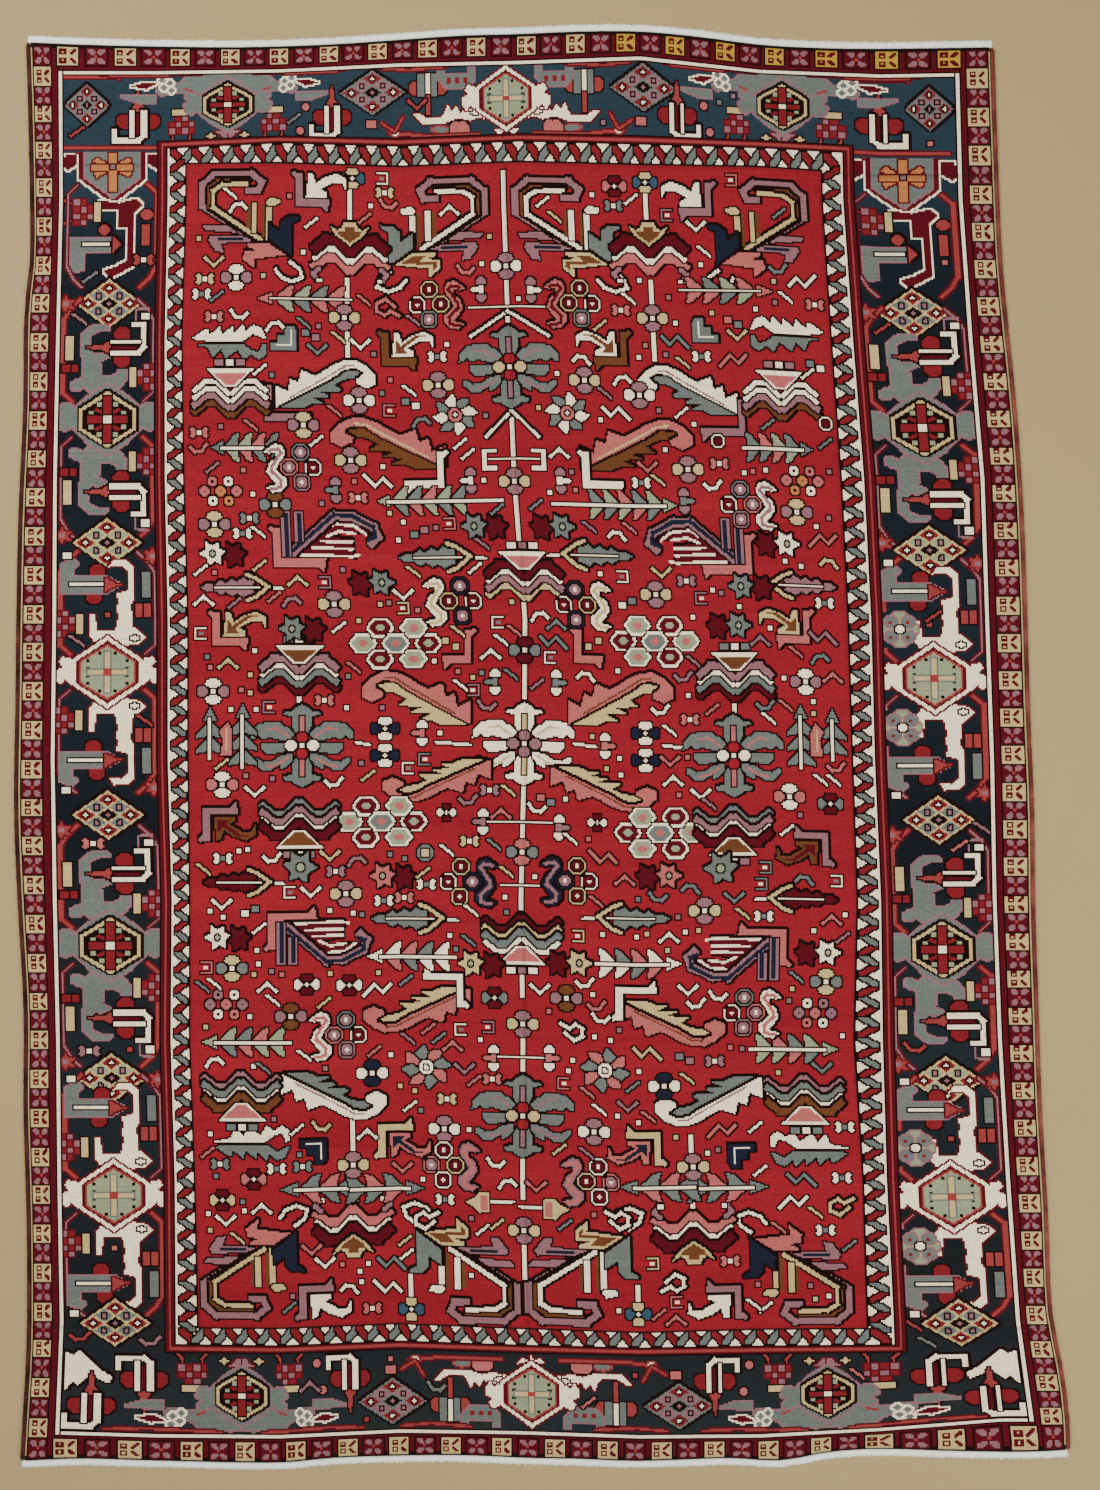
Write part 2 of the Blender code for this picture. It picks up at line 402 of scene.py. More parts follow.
def branch(pen: Pen, length: float, leaves: Sequence[Yarn]) -> None:
    """Draws a straight twig that runs to the right, with slanted leaves in pairs.

    Args:
        pen: The pen, at the root of the twig.
        length: Its length in knots.
        leaves: Wools of the pairs of leaves from the tip back.
    """
    for i, yarn in enumerate(leaves):
        x = length - 3 - i * 10
        other = leaves[(i + 1) % len(leaves)]
        pen.fill(yarn, ((x, 1.2), (x - 8.4, 1.2), (x - 10.4, 10), (x - 6.4, 8.4)))
        pen.fill(other, ((x, -1.2), (x - 8.4, -1.2), (x - 10.4, -10), (x - 6.4, -8.4)))
    pen.fill(leaves[0], ((length + 8, 0), (length - 1, 4.4), (length - 1, -4.4)))
    pen.line(IVORY, ((0, 0), (length, 0)), 2)


def bird(pen: Pen, yarn: Yarn, trim: Yarn) -> None:
    """Draws a little angular bird that faces left."""
    pen.fill(trim, ((-8, 11), (-4.6, 13.6), (0, 16.4), (4.7, 15.3), (7, 10.6), (4.7, 6), (1.6, 2),
            (0.4, -1.3), (3.3, -4), (7.3, -6.6), (7.6, -11.3), (3.3, -15.3), (-2, -16), (-6.6, -12.6),
            (-3, -11.6), (0.6, -10.6), (-3.3, -6), (-6, -2), (-4, 3.3), (0.6, 7.3), (0, 10.6), (-4, 10)))
    pen.line(yarn, ((-4, 11.8), (2, 13), (4, 10.4), (-2, 2), (-2.6, -2), (4, -8), (3, -12.6),
            (-3, -13.8)), 2.2, None)


def disc_cluster(pen: Pen, body: Yarn, trim: Yarn, *discs: Yarn) -> None:
    """Draws four round flowers held by a bird at their left: top, left, right, bottom."""
    bird(pen.at(-17, -1), body, trim)
    for (x, y), yarn in zip(((0.5, 10), (-7.6, 0), (9, -0.2), (1, -10)), discs):
        pen.fill(CREAM if yarn is MAROON else yarn, disc(x, y, 6.2))
        heart = MAROON if yarn in (IVORY, CREAM, MAROON) else LILAC
        pen.fill(heart, disc(x, y, 4))
        pen.lay(IVORY, disc(x, y, 1.3))


def toothed_leaf(pen: Pen, upper: Yarn, lower: Yarn, tip: Yarn) -> None:
    """Draws a long saw-toothed leaf that climbs to the right and curls over."""
    pen.fill(lower, ((2, -0.4), (20, 0), (26, 3), (34, 3), (26, 7), (40, 8), (32, 11.4), (48, 12.4),
            (42, 17), (50, 21), (61, 22), (62, 26.5), (50, 28), (41, 22.5), (20, 10.5)))
    pen.fill(upper, ((0, 0), (-0.5, 15.4), (8.4, 11.3), (10.4, 20.4), (16.4, 18), (18.4, 27),
            (28.4, 23.3), (33.7, 26), (41.7, 31.3), (49.7, 34.7), (58, 35.3), (66, 31.3), (72.4, 24.7),
            (72.4, 18), (65.7, 14.7), (59, 18), (58, 21), (63, 24), (63.5, 27), (57.7, 29.6),
            (49.7, 28.4), (41.7, 22.6)))
    pen.line(tip, ((10, 7), (42, 25.4), (50, 30.6), (57, 31.2)), 1.3, None)


def corner_bar(pen: Pen, yarn: Yarn, high: float, wide: float, thick: float = 4.6) -> None:
    """Draws an L with a foot, its corner at the lower left."""
    pen.fill(yarn, bar(0, 0, thick, high), bar(0, 0, wide, thick), ((-4, high - 1), (0, high - 4),
            (0, high), (-2, high + 1)), ((wide, thick), (wide + 2, thick), (wide, -4), (wide - 4, 0)))


def ell_arrow(pen: Pen, ell: Yarn, trim: Yarn, arrow: Yarn) -> None:
    """Draws an L with a small flying arrow in its angle."""
    corner_bar(pen.at(-14, -12), ell, 22, 22, 4.4)
    pen.fill(trim, ((-7, -6), (8, -6), (8, -3), (3, -1), (12, 4), (19, 4), (21, -1), (22, 6), (15, 10),
            (6, 7), (0, 3), (-2, 9), (-5, 10)))
    pen.lay(arrow, ((-5, -4), (4, -4), (1, -1), (11, 6), (17, 7), (10, 8), (-1, 1), (-4, 5)))


def striped_leaf(pen: Pen, foot: Yarn, band: Yarn, stripe: Yarn, base: Yarn) -> None:
    """Draws a hooked leaf of stripes with two straight spines behind it.

    Args:
        pen: The pen, at the corner of the L that it stands on.
        foot: The wool of the L.
        band: The wool of the spines and of the back of the leaf.
        stripe: The wool of the pale stripes.
        base: The wool between the stripes.
    """
    corner_bar(pen, foot, 26, 35, 5.6)
    pen.fill(base, ((15, 9), (44, 31), (58, 30), (69, 22), (57, 23), (46, 24), (40, 20), (56, 18),
            (57, 6), (13, 6.8)))
    for path in (((14, 8), (56, 6.8), (61, 8)), ((28, 12.6), (56, 11.8)), ((34, 17), (56, 16.2)),
                 ((17, 10.4), (44, 28.4), (58, 27.4), (66, 22)), ((38, 20), (47, 23.6), (59, 22))):
        pen.line(stripe, path, 1.7, None)
    pen.line(LILAC, ((14, 10), (44, 34), (57, 33.4), (72, 26.6), (75, 20), (70, 16)), 5.6)
    pen.line(band, ((14, 11), (44, 34.6), (57, 34), (72, 26.6), (73, 20), (68, 18)), 2.8, None)
    for x, low in ((9.4, 7), (18.6, 17)):
        pen.fill(LILAC, bar(x - 3.2, low, x + 3.2, 36.6))
        pen.lay(band, bar(x - 1.6, low - 1, x + 1.8, 35.4))


def scroll(pen: Pen, outer: Yarn, inner: Yarn, middle: Yarn, arrow: Yarn, block: Yarn) -> None:
    """Draws a great hooked leaf with a comb, a stepped block and an arrow foot.

    Args:
        pen: The pen, at the corner of the foot, with the leaf up and right.
        outer: The wool of its outer band.
        inner: The wool of its inner band and its comb.
        middle: The wool of the band between them.
        arrow: The wool of the foot.
        block: The wool of the stepped block.
    """
    pen.line(outer, ((34, 16), (69, 37), (69, 52), (60, 59.6), (31, 60), (23, 54), (26, 48), (34, 48)),
            4.2)
    pen.line(middle, ((30, 15), (64, 36), (64, 50), (57, 55), (34, 55.6)), 2.2)
    pen.line(inner, ((24, 13), (60.6, 36), (60.6, 48), (54, 52), (35, 53)), 2.8)
    for x, low in ((16, 12), (27, 18)):
        pen.fill(inner, bar(x, low, x + 4, 39))
        pen.lay(middle, bar(x + 5, low + 3, x + 7.6, 38))
    pen.fill(inner, ((9, 41), (17, 43), (20, 39), (18, 37), (10, 38)))
    pen.fill(block, ((0, 1), (18, 14), (17.5, 24), (9, 18), (8.5, 25), (4, 29), (-5, 29.5), (-4, 27),
            (0.5, 25)))
    pen.fill(CREAM if arrow is BROWN else arrow, ((5, 2), (29, -1), (28, -8), (37, -1), (36, 5),
            (26, 5.5), (34, 8), (34, 10), (18, 10.5)))
    pen.lay(arrow, ((9, 3), (32, 1), (31, -3), (35, 0), (34, 3.4), (22, 4), (27, 8), (17, 8)))
    pen.line(IVORY, ((1, -3), (-6, -8), (-8, -14), (0, -17), (8, -14), (12, -9)), 2.2)
    pen.fill(outer, ((29, 12), (54, 10.5), (52, 4), (58, 5), (64, 13), (62, 16), (38, 15.5)))
    pen.line(NAVY, ((38, 13.4), (56, 13.4)), 1.6, None)
    pen.fill(outer, ((42, 18), (66, 20), (68, 23), (50, 23.4)))


def star_flower(pen: Pen, first: Yarn, second: Yarn, heart: Yarn) -> None:
    """Draws a flower of sharp petals in two colours."""
    for i in range(8):
        turn = math.pi / 4 * i + 0.2
        side = turn + 0.5
        yarn = first if i % 2 else second
        pen.fill(yarn, ((4 * math.cos(turn), 4 * math.sin(turn)), (12 * math.cos(turn),
                10 * math.sin(turn)), (16 * math.cos(side), 14 * math.sin(side)),
                (9 * math.cos(side + 0.3), 8 * math.sin(side + 0.3))))
    pen.fill(heart, disc(0, 0, 4.6))
    pen.fill(IVORY, disc(0, 0, 1.4))


def hook(pen: Pen, yarn: Yarn) -> None:
    """Draws a small open hook."""
    pen.line(yarn, ((-5, 4), (-2, 0), (3, -1), (6, 2)), 2)


def vee(pen: Pen, yarn: Yarn) -> None:
    """Draws a small open angle, its point down."""
    pen.line(yarn, ((-6, 3), (0, -2), (6, 3)), 1.8)


def bead(pen: Pen, yarn: Yarn) -> None:
    """Draws one or two knots as a fleck."""
    pen.fill(yarn, bar(-1.6, -1.2, 1.6, 1.2))


def dash(pen: Pen, yarn: Yarn) -> None:
    """Draws a short slanting dash."""
    pen.line(yarn, ((-4, -3), (4, 3)), 1.6)


def curl(pen: Pen, yarn: Yarn) -> None:
    """Draws a small closed curl with a tail."""
    pen.line(yarn, ((-6, 2), (0, 7), (6, 4), (6, -1), (1, -4), (-3, -1), (-9, -4)), 2)


def side_palmette(pen: Pen, first: Yarn, second: Yarn, third: Yarn, base: Yarn) -> None:
    """Draws one of the palmettes that stand in the outer part of the field."""
    palmette(pen, (first, IVORY, second, third), base, (second, IVORY, second))


def split_leaf(pen: Pen, upper: Yarn, lower: Yarn) -> None:
    """Draws a leaf of two toothed halves that part round a gap at the left."""
    pen.fill(lower, ((26, -1), (14, -3.4), (11, -10), (5, -4), (2, -11), (-7, -5), (-11, -12), (-16, -8),
            (-22, -12), (-27, -8), (-27, -2), (-24.5, -1), (-22, -6.6), (-17, -5.6), (-10, -1)))
    pen.fill(upper, ((-27, 2), (-24, 9), (-18, 11.4), (-12, 7), (-11, 12), (-4, 6), (-3.6, 11), (4, 5),
            (6, 10.4), (13, 4.6), (14.5, 9.4), (26, 2.4), (16, 1), (-11, 1), (-18, 5.6), (-25, 2.6)))


def leaf_feather(pen: Pen, yarn: Yarn) -> None:
    """Draws a ragged leaf in a forked sheath, on a short stem."""
    feather(pen.at(12, 0), yarn)
    pen.line(IVORY, ((-12, -1), (0, 0), (42, 0)), 1.8)
    pen.line(CREAM, ((17, 9.4), (10, 7), (0, 0.6), (10, -7), (17, -9.4)), 2.4)


def twig(pen: Pen, first: Yarn, second: Yarn, third: Yarn) -> None:
    """Draws a long twig with slanted leaves in three colours."""
    branch(pen, 46, (first, second, third, first))


def long_twig(pen: Pen, first: Yarn, second: Yarn, third: Yarn) -> None:
    """Draws the longer twig that starts at the rug's middle."""
    branch(pen, 78, (first, second, third, first, second))


def short_twig(pen: Pen, first: Yarn, second: Yarn) -> None:
    """Draws a short twig with three pairs of leaves."""
    branch(pen, 30, (first, second, first))


def bush(pen: Pen, leaf: Yarn, fruit: Yarn, line: Yarn) -> None:
    """Draws two upright twigs with a small figure between them."""
    branch(pen.at(-10, -20, 1, 1, 1), 34, (leaf, leaf, leaf))
    branch(pen.at(12, -14, 1, 1, 1), 26, (leaf, leaf))
    pen.fill(fruit, ((-3, -12), (5, -12), (3, -2), (6, 4), (0, 10), (-3, 3)))
    pen.line(line, ((1, -9), (1, 5)), 1.4, None)


def c_bracket(pen: Pen, yarn: Yarn) -> None:
    """Draws a square bracket that opens to the left."""
    pen.line(yarn, ((-5, 5.6), (2, 5.6), (2, -5.6), (-5, -5.6)), 2.8)


def ell(pen: Pen, yarn: Yarn, fruit: Yarn) -> None:
    """Draws an L with a pair of small squares in its angle."""
    corner_bar(pen.at(-9, -11), yarn, 22, 18, 4.6)
    pen.fill(fruit, bar(-1, -2, 3, 2), bar(6, 2, 10, 6))


def stepped(pen: Pen, yarn: Yarn) -> None:
    """Draws a small block cut in steps."""
    pen.fill(yarn, ((-9, -8), (9, -8), (9, -3), (4, -3), (4, 2), (-1, 2), (-1, 8), (-7, 8), (-9, 4)))
    pen.line(IVORY, ((-5, 5), (-5, -5), (5, -5)), 1.4, None)


def bud(pen: Pen, first: Yarn, second: Yarn) -> None:
    """Draws a round bud whose point is to the right, on a stem from the left."""
    pen.line(IVORY, ((-24, 1), (-5, 0)), 1.8)
    pen.fill(first, ((-7, -6), (0, -7), (4, -3), (10, 0), (4, 3), (0, 7), (-7, 6)))
    pen.lay(second, ((-6, -5), (-1, -5), (-1, 5), (-6, 5)))


def tuft(pen: Pen, yarn: Yarn) -> None:
    """Draws a tiny flower of four pointed petals."""
    pen.pair(yarn, ((1, 0), (4, 3.6), (7, 2.6), (5, 0), (7, -2.6), (4, -3.6)))
    pen.fill(GREY if yarn is IVORY else IVORY, bar(-1.2, -1.2, 1.2, 1.2))


def quatrefoil(pen: Pen, yarn: Yarn) -> None:
    """Draws a small rosette with two maroon petals."""
    rosette(pen.at(0, 0, 0.8, 0.8), yarn, MAROON)


def squares(pen: Pen, yarn: Yarn) -> None:
    """Draws two little squares corner to corner."""
    pen.fill(yarn, bar(-6, -1, -1, 3))
    pen.fill(ROSE if yarn is GREY else GREY, bar(1, -4, 6, 0))


def zigzag(pen: Pen, yarn: Yarn) -> None:
    """Draws a thin zigzag."""
    pen.line(yarn, ((-10, 3), (-5, -2), (1, 3), (8, -4)), 1.5)


def loop(pen: Pen, yarn: Yarn) -> None:
    """Draws a small open loop with a dot beside it."""
    pen.line(yarn, ((3, 4), (-4, 4), (-4, -3), (3, -3)), 1.8)
    pen.lay(GREY if yarn is IVORY else IVORY, bar(-1.4, -0.4, 1.2, 1.8))


def cream_box(pen: Pen, frame_yarn: Yarn) -> None:
    """Draws a pale box with two little rings and two folded leaves."""
    pen.fill(frame_yarn, bar(-6.6, -6.2, 6.6, 6.2))
    for y in (-2.7, 2.7):
        pen.lay(MAROON, bar(-5.2, y - 2, -0.8, y + 2))
        pen.lay(frame_yarn, bar(-3.8, y - 0.6, -2.2, y + 0.6))
        pen.lay(MAROON, ((1, y * 0.3), (2.6, y * 0.3), (5.4, y * 1.3), (5.4, y * 1.8), (3.4, y * 1.8), (1,
                y * 0.9)))


def red_box(pen: Pen) -> None:
    """Draws a red box with a lilac flower of four petals."""
    pen.fill(MAROON, bar(-6.6, -6.2, 6.6, 6.2))
    pen.four(LILAC, ((0.8, 1.6), (3, 1.2), (5.6, 3.6), (5.2, 5.4), (2.4, 5.4), (0.8, 3.6)), edge=None)
    pen.lay(CORAL, bar(-1, -1, 1, 1))


def cross_medallion(pen: Pen) -> None:
    """Draws the six-sided medallion with a red cross and its hands."""
    pen.pair(GREY, ((21, 6), (24, 10), (29, 12), (33, 8), (30, 4), (34, 0), (32, -6), (28, -8), (24, -5),
            (21, -6)), ((0, 25), (12, 17), (25, 5), (25, -4), (12, -17), (0, -25)), edge=LILAC)
    pen.fill(CREAM, peaked(19.5, 20, 7))
    pen.lay(DARK, peaked(16.5, 17, 6.4))
    for x, y in ((11, 5), (5.5, 10.5)):
        pen.four(GREEN, bar(x - 1.8, y - 1.4, x + 1.8, y + 1.4), edge=None)
    pen.four(RED, ((2, 3), (9, 6.4), (7.6, 8.4), (3.6, 6.6)), edge=None)
    pen.fill(RED, bar(-13.5, -2.6, 13.5, 2.6))
    pen.fill(RED, bar(-3, -16, 3, 16))
    pen.fill(IVORY, bar(-2.4, -2.4, 2.4, 2.4))


def diamond_medallion(pen: Pen, base: Yarn, cell: Yarn) -> None:
    """Draws the lozenge of nine small lozenges."""
    pen.fill(base, diamond(0, 0, 24, 19.4))
    for i in range(-1, 2):
        for j in range(-1, 2):
            place = pen.at((i + j) * 7.6, (i - j) * 6.1)
            yarn = RED if (i, j) in ((1, 1), (-1, -1), (1, -1), (-1, 1)) else cell
            place.lay(DARK if (i, j) == (0, 0) else yarn, diamond(0, 0, 6.6, 5.2))
            place.fill(LILAC if yarn is cell else IVORY, disc(0, 0, 1.5), edge=DARK)


def turtle(pen: Pen) -> None:
    """Draws the pale six-sided flower with two hands."""
    hand = ((22, 7), (24, 10), (29, 11), (31, 7), (28, 4), (33, 1), (33, -5), (30, -9), (27, -5),
            (24, -8), (22, -5))
    pen.pair(IVORY, hand, ((0, 25.6), (23, 8.4), (23, -8.4), (0, -25.6)), edge=MAROON)
    pen.lay(MAROON, peaked(20, 22.4, 8))
    pen.fill(GREEN, peaked(16.8, 18.4, 7), edge=CORAL)
    for x, y in ((5, 13), (12.4, 8), (12.6, 3)):
        pen.four(DARK, bar(x - 1.2, y - 1.2, x + 1.2, y + 1.2), edge=None)
    pen.fill(CREAM, bar(-2, -14, 2, 14), bar(-12, -2, 12, 2), edge=GREY)
    pen.lay(CORAL, bar(-2.2, -2.2, 2.2, 2.2))


def jug(pen: Pen) -> None:
    """Draws a tulip on a red stem, its two pale bars joined at the right by a hook."""
    pen.fill(RED, disc(8, 8.4, 5.4), disc(8, -8.4, 5.4))
    pen.fill(CORAL, ((-14, 0.8), (-5, 1.4), (2, 5.6), (2, -5.6), (-5, -1.4), (-14, -0.8)))
    pen.line(IVORY, ((2, 3.6), (18, 3.6), (21.4, 0), (21.4, -15), (15, -15)), 3.2)
    pen.line(IVORY, ((2, -3.6), (18, -3.6)), 2.8)
    pen.fill(MAROON, bar(2, -1, 17, 1))


def checker(pen: Pen) -> None:
    """Draws a chequered flower at the right of a pale bar, on two coral legs."""
    for along in (1, -1):
        pen.at(0, 0, 1, along).line(CORAL, ((10, 6), (14, 6), (18, 9)), 1.6)
    for i, reach in enumerate((1, 2, 2)):
        for j in range(-reach, reach):
            pen.fill(LILAC if (i + j) % 2 else RED, bar(i * 4.2 - 2, j * 4.2, i * 4.2 + 2.2,
                    j * 4.2 + 4.2), edge=MAROON)
    pen.fill(CREAM, bar(-6.8, -6.4, -2.8, 6.4))


def cross_group(pen: Pen) -> None:
    """Draws what hangs below the red cross: a grey arm, a jug and small squares."""
    pen.fill(GREY, ((-23, -20.7), (-19.6, -19), (-14.8, -22), (-11.4, -18.7), (6, -20), (11.2, -26.7),
            (11.6, -32.7), (7.8, -34), (6.4, -30.7), (2.3, -28), (-4.5, -28.7), (-5.2, -39.3), (0.3, -42),
            (-5.9, -44), (-10, -43.3), (-11.4, -47.3), (-11.4, -56.7), (-5.9, -59.3), (1.6, -59.3),
            (-2.5, -62.7), (-10, -62), (-16.2, -56.7), (-17, -47.3), (-15.2, -39.3), (-15.8, -27.3),
            (-19.6, -26), (-22.3, -24)), edge=LILAC)
    jug(pen.at(1, -48))
    checker(pen.at(20, -28))
    pen.fill(CREAM, bar(-26, -56, -21, -40))
    pen.fill(RED, bar(-28, -37, -23.6, -32), bar(-22.6, -37, -18.4, -32))
    pen.fill(IVORY, bar(20.4, -71, 25.4, -66.6))
    pen.line(LILAC, ((17, -66), (17, -73), (25, -74)), 1.6, None)


def ivory_group(pen: Pen) -> None:
    """Draws what hangs below the pale flower: an ivory arm, a grey L and small squares."""
    pen.fill(IVORY, ((-6.8, -19), (-10, -24), (-10, -39), (-7.4, -39), (-6.6, -27.6), (4.8, -28),
            (6.4, -36.7), (5.4, -44), (7, -46), (5.4, -52), (12, -54), (12.6, -67), (8, -71), (1, -70),
            (4, -75), (12, -74), (16, -70), (16, -50), (13.6, -45), (15, -30), (22.6, -23.4), (18, -19),
            (6.8, -17)), edge=MAROON)
    pen.fill(IVORY, diamond(16, -22.7, 3.4, 1.8))
    pen.fill(RED, disc(-8, -50, 5), disc(-6, -67, 5))
    pen.fill(GREY, ((-27, -53), (-1, -53), (5, -57), (9, -58), (5, -59.4), (-1, -63.6), (-20, -63.6),
            (-20, -70), (-17, -72), (-21, -75), (-27, -72)), edge=LILAC)
    pen.fill(CORAL, ((-1, -54), (5, -57.4), (9, -58), (5, -59), (-1, -63)), edge=MAROON)
    pen.fill(IVORY, bar(-22, -59.4, -2, -57.4))
    checker(pen.at(-21, -32, -1))
    pen.fill(CORAL, bar(17, -46, 21, -37), bar(22, -46, 26, -37))
    pen.fill(GREY, bar(21, -67, 26, -50))
    pen.fill(IVORY, bar(-26, -80, -21, -76))


def big_rosette(pen: Pen) -> None:
    """Draws the pale round flower beside the right side's ivory figures."""
    pen.lay(GROUND, bar(-11, -12, 9, 12))
    for x, y in ((0, 7.6), (0, -7.6), (6.4, 0), (-6.4, 0)):
        pen.fill(GREEN, disc(x, y, 4.6), edge=LILAC)
    for x, y in ((5, 5), (-5, 5), (5, -5), (-5, -5)):
        pen.fill(GREY, disc(x, y, 3.6), edge=LILAC)
        pen.lay(RED, bar(x - 1, y - 1, x + 1, y + 1))
    pen.fill(IVORY, disc(0, 0, 2.6))


def framing(pen: Pen) -> None:
    """Draws the thin lines at both sides of a figure, from star to star."""
    for across, along, yarn in ((1, 1, CORAL), (-1, 1, LILAC), (1, -1, LILAC), (-1, -1, CORAL)):
        side = pen.at(0, 0, across, along)
        side.line(yarn, ((22, -12), (28, -18), (28, -66), (24, -74), (18, -80)),
                2.2 if yarn is CORAL else 1.4, MAROON)


def coral_star(pen: Pen) -> None:
    """Draws the small star where the framing lines turn."""
    pen.fill(CORAL, ((0, 6), (1.6, 2.4), (6, 3), (3, 0), (6, -4), (1.4, -2.6), (0, -6), (-2, -2.4),
            (-6, -3), (-3, 0), (-5, 4), (-1.6, 2.4)), edge=MAROON)
    pen.lay(LILAC, disc(0, 0, 1.6))


def end_cross(pen: Pen) -> None:
    """Draws what stands beside the red cross of an end band: wings, flowers, tulips, birds."""
    for across, reach in ((1, 75), (-1, 61)):
        half = pen.at(0, 0, across)
        half.fill(GREY, ((0, 21), (8, 14), (17, 8), (21, 2), (26, 3), (27, 8), (34, 10), (46, 8),
                (50, 11), (42, 15), (34, 16), (28, 21), (8, 22)), edge=LILAC)
        half.line(CORAL, ((25, 10), (31, 12)), 1.4, None)
        half.fill(LILAC, ((0, -18), (9, -19), (5, -21), (3, -24), (0, -24)), edge=MAROON)
        half.fill(CREAM, diamond(12, -22, 3.4, 2.2))
        checker(half.at(33, -9, 1, 1, 3))
        jug(half.at(reach, -2, across, 1, 3))
        half.fill(GREY, ((50, 3), (60, 3), (72, 7), (60, 8), (50, 8)), edge=LILAC)
        half.fill(MAROON, ((66, 14), (57, 17), (49, 16), (56, 12)), edge=IVORY)
        for x, y in ((46, 18), (41, 16), (45, 13), (40, 11)):
            half.fill(GREY, disc(x, y, 2.2), edge=IVORY)
        half.line(CORAL, ((14, 23), (60, 21), (84, 22)), 1.6, MAROON)
        if across > 0:
            half.fill(ROSE, disc(52, -20, 3), disc(56, -3, 2.6))


def end_turtle(pen: Pen) -> None:
    """Draws what stands beside the pale flower of an end band: arms, grey tulips and buds."""
    for across in (1, -1):
        half = pen.at(0, 0, across)
        half.fill(IVORY, ((12, -14), (20, -12), (26, -14), (34, -12), (44, -15), (60, -15), (67, -8),
                (63, -8), (57, -11.6), (46, -11), (44, -8), (42, -3), (39, -8), (36, -4), (33, -9),
                (27, -5), (20, -7)), edge=MAROON)
        half.fill(IVORY, diamond(22, -9, 3.4, 1.6))
        half.fill(IVORY, ((0, -22), (9, -20), (6, -24), (2, -22), (0, -26)), edge=MAROON)
        half.fill(CORAL, disc(47, 8, 5), disc(65, 8, 5))
        half.fill(GREY, bar(49, 3, 63, 18))
        half.fill(IVORY, bar(54.6, 4, 57.4, 18))
        half.line(CORAL, ((56, 2), (56, -8)), 2.4)
        half.fill(GREY, ((40, -19), (46, -22), (54, -19), (48, -17)), edge=CORAL)
        half.fill(ROSE, disc(31, -19, 4.6), disc(36, -19, 4.6))
        half.fill(GREY, ((22, 21), (22, 14), (28, 8), (42, 8), (48, 14), (48, 21), (44, 21), (44, 17),
                (26, 17), (26, 21)), edge=LILAC)
        for x in (29, 35, 41):
            half.lay(RED, bar(x - 1.6, 11, x + 1.6, 14.4))
        half.line(CORAL, ((20, -23), (60, -23), (84, -20)), 2, MAROON)
        half.fill(IVORY, disc(80, -20, 3), edge=CORAL)
        half.line(CORAL, ((74, -10), (80, -20), (90, -14)), 1.6, MAROON)
        half.fill(ROSE, bar(93, -17, 100, -12))
        half.line(CORAL, ((42, 22), (70, 20), (90, 22)), 1.6, MAROON)


@dataclass(frozen=True)
class Strewing:
    """Small figures put by chance wherever the ground is still plain."""

    seed: int
    ground: Yarn
    low: Point
    high: Point
    yarns: tuple[Yarn, ...]
    layers: tuple
    hole: Point = (0.0, 0.0)

    def draw(self, chart: Chart) -> None:
        """Draws the figures, the large ones first."""
        dice = random.Random(self.seed)
        for wide, high, tries, figures in self.layers:
            for _ in range(tries):
                x = round(dice.uniform(self.low[0], self.high[0]))
                y = round(dice.uniform(self.low[1], self.high[1]))
                is_inner = abs(x) < self.hole[0] and abs(y) < self.hole[1]
                if not is_inner and chart.is_plain(self.ground, x, y, wide, high):
                    place = Pen(chart, x, y, dice.choice((-1, 1)), dice.choice((-1, 1)))
                    dice.choice(figures)(place, dice.choice(self.yarns))


class Medallion(Enum):
    """The kinds of figure down the middle of the broad border."""

    CROSS = "cross"
    DIAMOND = "diamond"
    IVORY = "ivory"


